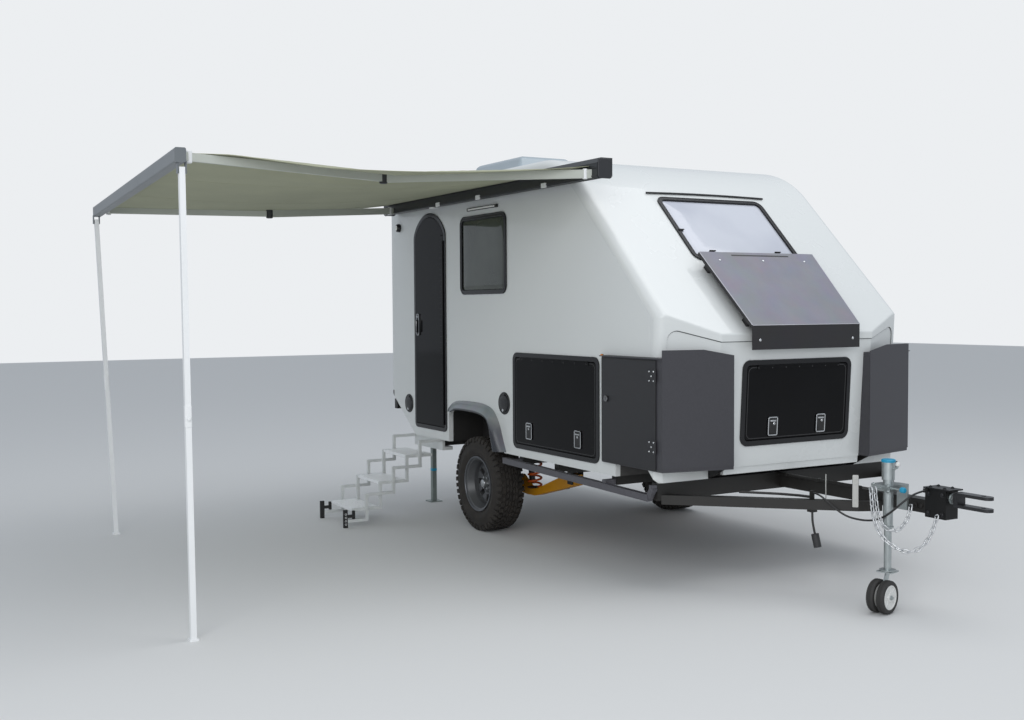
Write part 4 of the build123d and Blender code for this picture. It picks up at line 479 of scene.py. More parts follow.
def add_frame(bm, matrix, width, height, radius, band, thick):
    """Adds a rounded band round an opening, on the matrix's own plane."""
    ease = band * 0.25
    outer = rounded_outline(width, height, radius)
    outer_in = rounded_outline(width - 2 * ease, height - 2 * ease, radius - ease)
    rest = band - ease
    inner_out = rounded_outline(width - 2 * rest, height - 2 * rest, max(radius - band + ease, 0.001))
    inner = rounded_outline(width - 2 * band, height - 2 * band, max(radius - band, 0.001))
    flank = thick * 0.6
    add_outlines(bm, matrix, (
        (outer, 0), (outer, flank), (outer_in, thick), (inner_out, thick), (inner, flank), (inner, 0)),
        looped=True)


def add_bar(bm, matrix, width, height, length, ease=0.002):
    """Adds a bar of rounded section along the matrix's z, with eased ends."""
    full = rounded_outline(width, height, ease * 1.5, 2)
    small = rounded_outline(width - 2 * ease, height - 2 * ease, ease * 0.6, 2)
    add_outlines(bm, matrix, ((small, 0), (full, ease), (full, length - ease), (small, length)))


def add_screws(bm, places, radius, height):
    """Adds domed screw heads at (point, outward direction) pairs."""
    profile = (
        (radius, -0.001), (radius, height * 0.35), (radius * 0.82, height * 0.75), (radius * 0.45, height))
    for point, outward in places:
        add_lathe(bm, profile, placed(point, outward), turns=12)


def add_nut(bm, place, radius, height):
    """Adds a six-sided nut on a round washer."""
    washer = height * 0.2
    add_lathe(bm, ((radius * 1.35, 0), (radius * 1.35, washer)), place, 24)
    add_lathe(bm, ((radius, washer), (radius, height * 0.85), (radius * 0.84, height)), place, 6)
    stud = ((radius * 0.5, height * 0.9), (radius * 0.5, height * 1.3), (radius * 0.35, height * 1.4))
    add_lathe(bm, stud, place, 14)


def sweep(bm, points, radius, turns=10, closed=False):
    """Adds a round bar through points, capped at its ends or closed into a loop."""
    points = [Vector(point) for point in points]
    count = len(points)
    rings = []
    side = None
    for index, point in enumerate(points):
        before = points[index - 1] if index or closed else point
        after = points[(index + 1) % count] if index < count - 1 or closed else point
        along = (after - before).normalized()
        if side is None:
            side = along.orthogonal().normalized()
        side = (side - side.dot(along) * along).normalized()
        up = along.cross(side)
        angles = [2 * math.pi * step / turns for step in range(turns)]
        rings.append([point + radius * (math.cos(angle) * side + math.sin(angle) * up) for angle in angles])
    skin(bm, rings, closed)


def eased(points, rounds):
    """Cuts the corners of an open line, again and again, and keeps its ends."""
    line = [Vector(point) for point in points]
    for _ in range(rounds):
        cut = [line[0]]
        for before, after in zip(line, line[1:]):
            cut.append(before.lerp(after, 0.25))
            cut.append(before.lerp(after, 0.75))
        cut.append(line[-1])
        line = cut
    return line


# Finishes

def blank(name):
    """An empty node finish and its surface shader."""
    finish = bpy.data.materials.new(name)
    finish.use_nodes = True
    return finish, finish.node_tree.nodes["Principled BSDF"]


def join(finish, source, output, target, entry):
    """Links one node's output to another's input."""
    finish.node_tree.links.new(source.outputs[output], target.inputs[entry])


def own_place(finish):
    """Coordinates in metres that stay with the piece."""
    return finish.node_tree.nodes.new("ShaderNodeTexCoord")


def cloud(finish, place, scale, detail=4.0, roughness=0.5):
    """A soft noise over the surface."""
    node = finish.node_tree.nodes.new("ShaderNodeTexNoise")
    node.inputs["Scale"].default_value = scale
    node.inputs["Detail"].default_value = detail
    node.inputs["Roughness"].default_value = roughness
    join(finish, place, "Object", node, "Vector")
    return node


def spread(finish, source, output, *stops):
    """A ramp between two (position, colour) stops over a value."""
    ramp = finish.node_tree.nodes.new("ShaderNodeValToRGB")
    for element, (position, colour) in zip(ramp.color_ramp.elements, stops):
        element.position = position
        element.color = (*colour, 1)
    join(finish, source, output, ramp, "Fac")
    return ramp


def roughen(finish, shader, source, rough, start, end):
    """Spreads the roughness from low to high over a noise."""
    low, high = rough
    worn = spread(finish, source, "Fac", (start, (low, low, low)), (end, (high, high, high)))
    join(finish, worn, "Color", shader, "Roughness")


def relief(finish, shader, place, grain, detail, roughness, strength, distance):
    """A fine grain in relief."""
    fine = cloud(finish, place, grain, detail, roughness)
    bump = finish.node_tree.nodes.new("ShaderNodeBump")
    bump.inputs["Strength"].default_value = strength
    bump.inputs["Distance"].default_value = distance
    join(finish, fine, "Fac", bump, "Height")
    join(finish, bump, "Normal", shader, "Normal")


def grained(
        name, dark, pale, grain, rough, metal=0.0, bump=0.1, depth=0.0004, coat=0.0, blotch=2.0, gloss=0.5):
    """A finish of two close colours in clouds, with a fine grain in relief."""
    finish, shader = blank(name)
    place = own_place(finish)
    wide = cloud(finish, place, blotch, 5.0, 0.6)
    ramp = spread(finish, wide, "Fac", (0.15, dark), (0.85, pale))
    join(finish, ramp, "Color", shader, "Base Color")
    roughen(finish, shader, wide, rough, 0.15, 0.85)
    relief(finish, shader, place, grain, 3.0, 0.55, bump, depth)
    shader.inputs["Metallic"].default_value = metal
    shader.inputs["Coat Weight"].default_value = coat
    shader.inputs["Specular IOR Level"].default_value = gloss
    return finish


def coat_of(name):
    """A finish from the table, made when it is first asked for."""
    *looks, options = FINISHES[name]
    return bpy.data.materials.get(name) or grained(name, *looks, **options)


def dusty(name, clean, dust, low, high, rough):
    """A finish that gathers dust towards its foot, from height low up to height high."""
    finish, shader = blank(name)
    nodes = finish.node_tree.nodes
    place = own_place(finish)
    split = nodes.new("ShaderNodeSeparateXYZ")
    join(finish, place, "Object", split, "Vector")
    height = nodes.new("ShaderNodeMapRange")
    height.inputs["From Min"].default_value = high - PIN_HEIGHT
    height.inputs["From Max"].default_value = low - PIN_HEIGHT
    join(finish, split, "Z", height, "Value")
    patch = cloud(finish, place, 5.0, 6.0, 0.65)
    soiled = nodes.new("ShaderNodeMath")
    soiled.operation = "MULTIPLY"
    join(finish, height, "Result", soiled, 0)
    join(finish, patch, "Fac", soiled, 1)
    mix = nodes.new("ShaderNodeMix")
    mix.data_type = "RGBA"
    mix.inputs["A"].default_value = (*clean, 1)
    mix.inputs["B"].default_value = (*dust, 1)
    join(finish, soiled, "Value", mix, "Factor")
    join(finish, mix, "Result", shader, "Base Color")
    roughen(finish, shader, patch, rough, 0.3, 0.7)
    relief(finish, shader, place, 500, 3.0, 0.55, 0.2, 0.0004)
    return finish


def painted_sky_sheen(name, under, over, rough=0.42, bump=0.5):
    """Textured coating with a painted sky sheen: paler where it faces up, as if lit from above."""
    finish, shader = blank(name)
    nodes = finish.node_tree.nodes
    place = own_place(finish)
    facing = nodes.new("ShaderNodeNewGeometry")
    split = nodes.new("ShaderNodeSeparateXYZ")
    join(finish, facing, "Normal", split, "Vector")
    # Painted sheen: faces that point up take the paler colour, standing in for light from the sky.
    tone = spread(finish, split, "Z", (0.25, under), (0.62, over))
    patch = cloud(finish, place, 5.0, 5.0, 0.6)
    shade = nodes.new("ShaderNodeMix")
    shade.data_type = "RGBA"
    shade.blend_type = "MULTIPLY"
    shade.inputs["Factor"].default_value = 0.35
    join(finish, tone, "Color", shade, "A")
    join(finish, patch, "Color", shade, "B")
    join(finish, shade, "Result", shader, "Base Color")
    shader.inputs["Roughness"].default_value = rough
    relief(finish, shader, place, 700, 3.0, 0.55, bump, 0.0008)
    return finish


def acrylic(name, dark, pale, rough):
    """Bowed acrylic with a slight haze."""
    finish, shader = blank(name)
    haze = cloud(finish, own_place(finish), 1.6, 3.0, 0.5)
    tone = spread(finish, haze, "Fac", (0.35, dark), (0.65, pale))
    join(finish, tone, "Color", shader, "Base Color")
    shader.inputs["Roughness"].default_value = rough
    shader.inputs["Coat Weight"].default_value = 0.25
    shader.inputs["Coat Roughness"].default_value = 0.04
    return finish


def times(colour, factor):
    """A colour made darker or paler."""
    return tuple(value * factor for value in colour)


def paint(finish, *nodes):
    """Gives carried-over solids their finish."""
    for node in nodes:
        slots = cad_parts[node].data.materials
        slots.clear()
        slots.append(coat_of(finish) if isinstance(finish, str) else finish)


# Settings

def colour_setting(name, description, value):
    """A colour that the panel shows."""
    return FloatVectorProperty(
        name=name, description=description, subtype="COLOR", size=3, default=value, min=0, max=1)


class TrailerShellSettings(bpy.types.PropertyGroup):
    gelcoat: colour_setting("Gelcoat", "Colour of the pale body panels", (0.72, 0.74, 0.73))
    panel_black: colour_setting("Panel black", "Colour of the door and the hatches", (0.006, 0.006, 0.0065))
    coat_grey: colour_setting("Coated steel", "Colour of the lockers and the guard", (0.045, 0.044, 0.050))


class TrailerAwningSettings(bpy.types.PropertyGroup):
    cloth: colour_setting("Cloth", "Colour of the awning cloth", (0.43, 0.44, 0.31))
    sag: FloatProperty(
        name="Sag", description="How far the middle of the cloth hangs down", subtype="DISTANCE",
        unit="LENGTH", default=0.065, min=0, max=0.15)
    seams: IntProperty(
        name="Seams", description="Number of sewn seams across the cloth", default=2, min=0, max=8)


class TrailerWheelSettings(bpy.types.PropertyGroup):
    tread_blocks: IntProperty(
        name="Tread blocks", description="Blocks round the tyre in each row", default=44, min=12, max=80)
    tread_depth: FloatProperty(
        name="Tread depth", description="Height of the tread blocks", subtype="DISTANCE", unit="LENGTH",
        default=0.012, min=0.002, max=0.02)


class TrailerStageSettings(bpy.types.PropertyGroup):
    floor: colour_setting("Floor", "Colour of the plain floor", (0.70, 0.70, 0.69))


# Camera and stage

class OBJECT_OT_trailer_camera(bpy.types.Operator):
    """Stand the camera where the photographer stood"""
    bl_idname = "object.trailer_camera"
    bl_label = "Camera"

    def execute(self, context):
        yaw, pitch, roll = (math.radians(angle) for angle in CAMERA_ANGLES)
        ahead = Vector((-math.cos(yaw) * math.cos(pitch), math.sin(yaw) * math.cos(pitch), -math.sin(pitch)))
        level_right = ahead.cross(Vector(UPWARD)).normalized()
        level_up = level_right.cross(ahead)
        right = math.cos(roll) * level_right + math.sin(roll) * level_up
        up = math.cos(roll) * level_up - math.sin(roll) * level_right
        data = bpy.data.cameras.new("trailer_camera")
        data.sensor_width = 36
        data.lens = CAMERA_LENS
        data.clip_start = 0.05
        data.clip_end = 200
        camera = bpy.data.objects.new("trailer_camera", data)
        context.scene.collection.objects.link(camera)
        turn = Matrix((right, up, -ahead)).transposed().to_4x4()
        camera.matrix_world = Matrix.Translation(spot(*CAMERA_PLACE)) @ turn
        context.scene.camera = camera
        return {"FINISHED"}


class OBJECT_OT_trailer_stage(bpy.types.Operator):
    """Lay a plain floor under the trailer and light it softly from above"""
    bl_idname = "object.trailer_stage"
    bl_label = "Stage"

    def execute(self, context):
        settings = context.scene.trailer_stage
        bm = bmesh.new()
        bm.faces.new([
            bm.verts.new((x * FLOOR_HALF, y * FLOOR_HALF, -PIN_HEIGHT))
            for x, y in ((-1, -1), (1, -1), (1, 1), (-1, 1))])
        mesh = bpy.data.meshes.new("plain_floor")
        bm.to_mesh(mesh)
        bm.free()
        floor = bpy.data.objects.new("plain_floor", mesh)
        context.scene.collection.objects.link(floor)
        finish, shader = blank("plain_floor")
        shader.inputs["Base Color"].default_value = (*settings.floor, 1)
        shader.inputs["Roughness"].default_value = 0.9
        mesh.materials.append(finish)
        world = bpy.data.worlds.new("soft_sky")
        world.use_nodes = True
        nodes = world.node_tree.nodes
        links = world.node_tree.links
        nodes.clear()
        mix = nodes.new("ShaderNodeMixShader")
        for entry, (colour, strength) in ((1, SKY_GLOW), (2, SKY_SEEN)):
            sky = nodes.new("ShaderNodeBackground")
            sky.inputs["Color"].default_value = colour
            sky.inputs["Strength"].default_value = strength
            links.new(sky.outputs["Background"], mix.inputs[entry])
        rays = nodes.new("ShaderNodeLightPath")
        open_air = nodes.new("ShaderNodeMath")
        open_air.operation = "MAXIMUM"
        out = nodes.new("ShaderNodeOutputWorld")
        links.new(rays.outputs["Is Camera Ray"], open_air.inputs[0])
        links.new(rays.outputs["Is Transmission Ray"], open_air.inputs[1])
        links.new(open_air.outputs["Value"], mix.inputs[0])
        links.new(mix.outputs["Shader"], out.inputs["Surface"])
        context.scene.world = world
        for name, place, aim, size, power in LAMPS:
            light = bpy.data.lights.new(name, "AREA")
            light.shape = "SQUARE"
            light.size = size
            light.energy = power
            lamp = bpy.data.objects.new(name, light)
            context.scene.collection.objects.link(lamp)
            lamp.location = spot(*place)
            lamp.rotation_euler = (spot(*aim) - spot(*place)).to_track_quat("-Z", "Y").to_euler()
        context.scene.view_settings.view_transform = "Standard"
        return {"FINISHED"}


# Body

class OBJECT_OT_trailer_shell(bpy.types.Operator):
    """Finish the body panels, the frames, the panes and the fittings on the walls"""
    bl_idname = "object.trailer_shell"
    bl_label = "Body shell"

    def execute(self, context):
        pale = tuple(context.scene.trailer_shell.gelcoat)
        dim = times(pale, 0.985)
        wall = grained(
            "wall_gelcoat", dim, pale, 420, (0.26, 0.32), bump=0.04, depth=0.0002, coat=0.35, blotch=0.9)
        paint(wall, "side_wall_right", "side_wall_left")
        moulding = grained(
            "moulded_gelcoat", dim, pale, 380, (0.24, 0.30), bump=0.04, depth=0.0002, coat=0.4, blotch=0.8)
        paint(moulding, "nose_panel", "rear_wall", "roof_front_moulding", "locker_sills")
        paint("roof_unit_plastic", "roof_unit")
        paint("underfloor", "floor_panel")
        paint("arch_liner", "wheel_arch_liners")
        paint("black_trim", "window_frames", "hatch_frames", "door_frame")
        # The flares' paler top is a painted highlight over their dark plastic.
        add_flares(painted_sky_sheen("flare_plastic", (0.034, 0.037, 0.044), (0.31, 0.325, 0.35), 0.26, 0.08))
        add_nose_seam()
        glaze_windows()
        add_lamps()
        add_ports()
        add_slats()
        return {"FINISHED"}


def add_flares(finish):
    """Makes the arches' flares of moulded plastic, with a rolled lip."""
    for side in SIDES:
        rings = []
        for root, lip in zip(eased(FLARE_ROOT, 3), eased(FLARE_LIP, 3)):
            inward = (lip - root).normalized()
            section = [(root, 0.0)]
            for share in (0.15, 0.35, 0.55, 0.75, 0.90):
                belly = math.sin(math.pi * share)
                sunk = root.lerp(lip, share) - inward * 0.010 * belly
                section.append((sunk, FLARE_PROUD * share + 0.004 * belly))
            section += [(lip + inward * past, FLARE_PROUD - back) for past, back in FLARE_ROLL]
            for share in (0.90, 0.55, 0.20):
                section.append((root.lerp(lip, share) + inward * 0.006, FLARE_PROUD * share - 0.004))
            section.append((root + inward * 0.012, 0.0))
            rings.append([spot(place.x, side * (HALF_WIDTH + out), place.y) for place, out in section])
        flare = build("flare_" + SIDE_NAMES[side], "trailer", finish, [(skin, rings)], 50)
        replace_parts(flare, "fender_flares")


def add_nose_seam():
    """Runs a grey bead round the step where the nose panel is let into the moulding: a painted shadow line
    along the step.
    """
    surface = BVHTree.FromObject(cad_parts["nose_panel"], bpy.context.evaluated_depsgraph_get())
    centre_y, centre_z = SEAM_CORNER
    line = [(centre_y - SEAM_RADIUS, SEAM_FOOT_Z)]
    for step in range(8):
        angle = math.radians(180 - 15 * step)
        line.append((centre_y + SEAM_RADIUS * math.cos(angle), centre_z + SEAM_RADIUS * math.sin(angle)))
    line.append((-SEAM_FLAT_HALF, SEAM_MIDDLE_Z))
    line += [(-y, z) for y, z in reversed(line)]
    points = []
    for (y, z), (next_y, next_z) in zip(line, line[1:]):
        steps = max(1, round(math.hypot(next_y - y, next_z - z) / 0.030))
        for step in range(steps):
            share = step / steps
            start = spot(SEAM_AHEAD, y + (next_y - y) * share, z + (next_z - z) * share)
            hit = surface.ray_cast(start, Vector(ASTERN))[0]
            if hit is None:
                raise RuntimeError("the seam's bead misses the nose panel")
            points.append(hit)
    build("nose_seam_bead", "trailer", "painted_seam_shadow", [(sweep, points, 0.0030, 8)])


def glaze_windows():
    """Fits the bowed acrylic panes, the stays of the front one and its drip rail."""
    # The front pane's pale tone is a painted reflection of the sky; the other panes are smoked.
    pale = acrylic("sky_reflection_pane", (0.50, 0.52, 0.59), (0.60, 0.62, 0.68), 0.10)
    smoked = acrylic("smoked_pane", (0.028, 0.034, 0.027), (0.060, 0.070, 0.056), 0.05)
    slots = (
        ("front_pane", slope_place, (FRONT_PANE_X, 0), -0.006, 0.912, 0.592, pale),
        ("right_pane", wall_place, (*SIDE_PANE, -1), -0.004, 0.700, 0.569, smoked),
        ("left_pane", wall_place, (*SIDE_PANE, 1), -0.004, 0.700, 0.569, smoked),
        ("rear_pane", rear_place, REAR_PANE, -0.004, 0.832, 0.432, smoked))
    gaskets = []
    for name, place_on, where, lift, width, height, finish in slots:
        levels = []
        for inset, level in PANE_BOW:
            radius = max(PANE_RADIUS - inset * 0.15, 0.01)
            levels.append((rounded_outline(width - 2 * inset, height - 2 * inset, radius), level))
        pane = build(name, "trailer", finish, [(add_outlines, place_on(*where, lift), levels)], 50)
        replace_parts(pane, "window_panes")
        place = place_on(*where, 0.0085)
        gaskets.append((add_frame, place, width + 0.064, height + 0.064, 0.066, 0.009, 0.003))
        gaskets.append((add_frame, place, width + 0.020, height + 0.020, 0.044, 0.008, 0.0025))
    build("window_gaskets", "trailer", "black_trim", gaskets)
    forms = []
    for y, up in STAYS:
        place = moved(slope_place(FRONT_PANE_X, y, 0.006), 0, up, 0)
        forms.append((add_pad, place, 0.040, 0.022, 0.005, 0.009, 0.003))
        forms.append((add_pad, moved(place, 0.008, 0, 0.008), 0.044, 0.009, 0.004, 0.005, 0.0015))
    rail = [
        slope_place(DRIP_RAIL_X, y, 0.004) @ Vector((0, -0.010 * (y / 0.54) ** 2, 0.004))
        for y in DRIP_RAIL_STATIONS]
    forms.append((sweep, rail, 0.007, 10))
    build("window_stays_and_drip_rail", "trailer", "black_trim", forms)


def add_lamps():
    """Makes the side markers, the porch lamps, the lamp strip and the tail lamps."""
    bases = []
    for side in SIDES:
        name = SIDE_NAMES[side]
        bases.append((add_pad, wall_place(*MARKER, side), 0.030, 0.014, 0.005, 0.004, 0.001))
        marker = [(add_pad, wall_place(*MARKER, side, 0.003), 0.024, 0.010, 0.004, 0.008, 0.003)]
        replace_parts(build("side_marker_" + name, "trailer", "amber_lens", marker), "lamps")
        porch = wall_place(*PORCH_LAMP, side)
        bases.append((add_lathe, PORCH_HOOD, porch, 36))
        build("porch_lens_" + name, "trailer", "white_lens", [(add_lathe, PORCH_DOME, porch, 28)])
        tail = rear_place(side * TAIL_LAMP[0], TAIL_LAMP[1])
        bases.append((add_pad, tail, 0.110, 0.260, 0.018, 0.010, 0.002))
        for lens, rise, height, finish in TAIL_LENSES:
            forms = [(add_pad, moved(tail, 0, rise, 0.009), 0.098, height, 0.008, 0.014, 0.004)]
            for rib in range(int(height / LENS_RIB)):
                line = moved(tail, 0, rise - height / 2 + 0.008 + rib * LENS_RIB, 0.0225)
                forms.append((add_pad, line, 0.086, 0.004, 0.0015, 0.0015, 0.0005))
            build("tail_" + lens + "_" + name, "trailer", finish, forms)
    bases.append((add_pad, wall_place(*PORCH_STRIP), 0.500, 0.026, 0.008, 0.016, 0.003))
    strip = [(add_pad, wall_place(*PORCH_STRIP, -1, 0.015), 0.440, 0.014, 0.005, 0.009, 0.003)]
    build("porch_strip_lens", "trailer", "white_lens", strip)
    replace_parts(build("lamp_housings", "trailer", "black_trim", bases), "lamps")


def add_ports():
    """Makes the covers of the service ports with their locks."""
    covers = []
    locks = []
    for x, z, radius in PORTS:
        place = wall_place(x, z)
        profile = [(radius - inset, height) for inset, height in PORT_STEPS] + [(0.02, 0.012)]
        covers.append((add_lathe, profile, place, 48))
        covers.append((add_pad, moved(place, 0, radius - 0.020, 0.009), 0.052, 0.016, 0.005, 0.007, 0.002))
        for line in range(5):
            rib = moved(place, 0, 0.030 - 0.012 * line, 0.0115)
            covers.append((add_pad, rib, 0.070, 0.004, 0.0015, 0.002, 0.0006))
        locks.append((add_lathe, PORT_LOCK, moved(place, -0.004, -radius * 0.62, 0), 24))
    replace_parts(build("port_covers", "trailer", "black_trim", covers), "service_ports")
    build("port_locks", "trailer", "fitting_steel", locks)


def add_slats():
    """Adds the slats on the roof unit's rear slope."""
    foot_x, top_x, foot_z, rise = SLAT_SLOPE
    slats = []
    for index in range(SLATS):
        share = 0.16 + 0.105 * index
        place = at(foot_x + (top_x - foot_x) * share - 0.002, 0, foot_z + rise * share, (-0.94, 0, 0.34))
        slats.append((add_pad, place, 0.380, 0.014, 0.004, 0.006, 0.002))
    build("roof_unit_slats", "trailer", "black_trim", slats)


class OBJECT_OT_trailer_doors(bpy.types.Operator):
    """Finish the entrance door and the hatches"""
    bl_idname = "object.trailer_doors"
    bl_label = "Door and hatches"

    def execute(self, context):
        black = tuple(context.scene.trailer_shell.panel_black)
        gloss = grained(
            "gloss_black", black, times(black, 1.6), 260, (0.05, 0.08), bump=0.01, depth=0.0002, gloss=0.10)
        paint(gloss, "entrance_door", "side_hatch_right", "side_hatch_left", "nose_hatch")
        # Hatches: body, middle, the latches' places along and up, width and height.
        hatches = (
            ("hatch_right", wall_place(*SIDE_HATCH), (-0.336, 0.329), -0.220, 1.090, 0.652),
            ("hatch_left", wall_place(*SIDE_HATCH, 1), (-0.336, 0.329), -0.220, 1.090, 0.652),
            ("hatch_nose", nose_hatch_place(), (-0.215, 0.215), -0.160, 0.890, 0.486))
        for body, middle, stations, rise, width, height in hatches:
            latches = []
            trays = []
            for x in stations:
                add_latch(latches, trays, moved(middle, x, rise, 0.014))
            build(body + "_latches", body, "latch_chrome", latches)
            build(body + "_latch_trays", body, "latch_tray", trays)
            screws = [
                (middle @ Vector((width * 0.40 * (step - 3) / 3, height / 2 - 0.012, 0.012)),
                 middle.col[2].xyz)
                for step in range(7)]
            build(body + "_bead", body, "seal_rubber", [
                (add_frame, moved(middle, 0, 0, 0.0065), width - 0.012, height - 0.012, 0.040, 0.006, 0.002),
                (add_screws, screws, 0.005, 0.003)])
        add_door_furniture()
        return {"FINISHED"}


def add_latch(metal, tray, place):
    """Adds a paddle latch: a bright surround, a dark tray, the paddle and its key barrel."""
    metal.append((add_frame, place, 0.084, 0.126, 0.013, 0.008, 0.004))
    metal.append((add_pad, moved(place, 0, 0.036, 0.0008), 0.050, 0.012, 0.004, 0.006, 0.002))
    metal.append((add_lathe, KEY_BARREL, moved(place, 0.006, 0.018, 0.001), 20))
    tray.append((add_pad, place, 0.070, 0.112, 0.008, 0.0008, 0.0002))
    tray.append((add_pad, moved(place, 0, -0.012, 0.0008), 0.056, 0.074, 0.007, 0.005, 0.002))


def add_door_furniture():
    """Adds the entrance door's handle, its key barrel and the hinge's rivets."""
    middle = wall_place(*DOOR_HANDLE)
    build("door_handle", "door", "latch_chrome", [
        (add_frame, moved(middle, 0, 0, 0.017), 0.052, 0.190, 0.014, 0.006, 0.004),
        (add_lathe, DOOR_BARREL, moved(middle, 0, 0.070, 0.017), 24),
        (add_frame, moved(middle, 0, -0.015, 0.038), 0.030, 0.110, 0.012, 0.003, 0.003)])
    build("door_handle_grip", "door", "latch_tray", [
        (add_pad, moved(middle, 0, -0.015, 0.039), 0.028, 0.104, 0.010, 0.003, 0.001)])
    rivets = [
        (wall_place(x, HINGE_RIVETS_Z + HINGE_RIVETS_PITCH * row, -1, 0.013).translation, TO_RIGHT)
        for row in range(HINGE_RIVETS) for x in HINGE_RIVETS_X]
    build("door_hinge_rivets", "door", "latch_tray", [(add_screws, rivets, 0.0045, 0.0025)])


class OBJECT_OT_trailer_steelwork(bpy.types.Operator):
    """Finish the lockers and the guard of coated steel with their locks and bolts"""
    bl_idname = "object.trailer_steelwork"
    bl_label = "Lockers and guard"

    def execute(self, context):
        grey = tuple(context.scene.trailer_shell.coat_grey)
        textured = grained(
            "textured_coat", grey, times(grey, 1.25), 700, (0.38, 0.48), bump=0.6, depth=0.0008, blotch=60)
        paint(textured, "corner_lockers")
        # The locker lids take a darker copy of the coated grey: painted shade on the side-facing lids.
        shaded_lid_coat = grained(
            "shaded_lid_coat", times(grey, 0.34), times(grey, 0.46), 700, (0.36, 0.46),
            bump=0.6, depth=0.0008, blotch=60)
        paint(shaded_lid_coat, "locker_door_right", "locker_door_left")
        # The guard's paler top plate is a painted sky sheen; its own coat is near black.
        paint(painted_sky_sheen("guard_coat", (0.022, 0.020, 0.022), (0.26, 0.26, 0.305)), "slope_guard")
        for side in SIDES:
            lid = "locker_lid_" + SIDE_NAMES[side]
            bolts = [
                (wall_place(x, z + rise, side, 0.036).translation, (0, side, 0))
                for z in LID_HINGES_Z for x, rise in LID_HINGE_BOLTS]
            build(lid + "_hinge_bolts", lid, "bright_bolt", [(add_screws, bolts, 0.0065, 0.004)])
            lock = wall_place(*LID_LOCK_PLACE, side, 0.041)
            build(lid + "_lock", lid, "lock_ring", [(add_lathe, LID_LOCK, lock, 32)])
            # The keyway is a dark pad: painted shade in the key slot.
            slot = [(add_pad, moved(lock, 0, 0, 0.0034), 0.005, 0.016, 0.0015, 0.0012, 0.0004)]
            build(lid + "_keyway", lid, "lock_dark", slot)
            edge = [(add_frame, wall_place(*LID_MIDDLE, side, 0.0325), 0.602, 0.700, 0.006, 0.007, 0.0022)]
            build(lid + "_edge", lid, "lock_dark", edge)
        heads = [(slope_place(GUARD_BOLTS[0], y, 0.0885).translation, (1, 0, 1)) for y in GUARD_BOLTS[1]]
        heads += [(spot(*place), AHEAD) for place in GUARD_FRONT_BOLTS]
        build("guard_bolts", "trailer", "bright_bolt", [(add_screws, heads, 0.0095, 0.005)])
        # The handle slot is a dark pad: its darkness is painted shade in the opening.
        slot = [(add_pad, slope_place(*GUARD_SLOT, 0.0881), 0.520, 0.012, 0.005, 0.0008, 0.0003)]
        build("guard_handle_slot", "trailer", "lock_dark", slot)
        # A pale line along the guard's folded edges: a painted highlight.
        worn = [slope_place(x, y, 0.0874).translation for x, y in GUARD_EDGE]
        build("guard_edge_bead", "trailer", "guard_edge_highlight", [(sweep, worn, 0.0022, 8)])
        return {"FINISHED"}


# Running gear

class OBJECT_OT_trailer_running_gear(bpy.types.Operator):
    """Finish the wheels, the arms, the springs and the dampers"""
    bl_idname = "object.trailer_running_gear"
    bl_label = "Wheels and suspension"

    def execute(self, context):
        settings = context.scene.trailer_wheel
        paint("cast_hub", "stub_axles")
        paint("arm_paint", "suspension_arms")
        paint("damper_paint", "dampers")
        for side in SIDES:
            name = SIDE_NAMES[side]
            wheel = "wheel_" + name
            paint("rim_paint", "rim_" + name)
            hub = at(0, side * WHEEL_MIDDLE[0], WHEEL_MIDDLE[1], (0, side, 0))
            tread = [(add_tyre, hub, settings.tread_blocks, settings.tread_depth)]
            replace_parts(build("tyre_with_lugs_" + name, wheel, "tyre_rubber", tread, 30), "tyre_" + name)
            build("rim_lip_" + name, wheel, "rim_lip_paint", [(add_ring, RIM_LIP, hub, 72)])
            nuts = []
            for index in range(WHEEL_NUTS):
                angle = 2 * math.pi * index / WHEEL_NUTS
                across = WHEEL_NUTS_RADIUS * math.cos(angle)
                place = moved(hub, across, WHEEL_NUTS_RADIUS * math.sin(angle), 0.0215)
                nuts.append((add_lathe, WHEEL_NUT, place, 6))
            nuts.append((add_lathe, HUB_CAP, hub, 36))
            turn = hub @ Matrix.Rotation(VALVE_TURN, 4, "Z")
            nuts.append((add_lathe, VALVE, moved(turn, VALVE_RADIUS, 0, 0.045), 12))
            build("wheel_nuts_" + name, wheel, "wheel_nut", nuts)
        for side in SIDES:
            name = SIDE_NAMES[side]
            x, y = SPRING[0], side * SPRING[1]
            points = []
            for step in range(SPRING_TURNS * 22 + 1):
                share = step / (SPRING_TURNS * 22)
                angle = 2 * math.pi * SPRING_TURNS * share
                across = y + SPRING_RADIUS * math.sin(angle)
                along = x + SPRING_RADIUS * math.cos(angle)
                points.append(spot(along, across, SPRING_FOOT + SPRING_HEIGHT * share))
            coil = build("coil_" + name, "trailer", "spring_paint", [(sweep, points, 0.0088, 10)])
            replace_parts(coil, "coil_springs")
            build("spring_seats_" + name, "trailer", "cast_hub", [
                (add_lathe, SPRING_SEAT, at(x, y, SPRING_SEATS_Z[0], UPWARD), 32),
                (add_lathe, SPRING_SEAT, at(x, y, SPRING_SEATS_Z[1], DOWNWARD), 32),
                (add_lathe, ARM_PIN, at(ARM_PIN_PLACE[0], y, ARM_PIN_PLACE[1], (0, side, 0)), 6)])
        return {"FINISHED"}


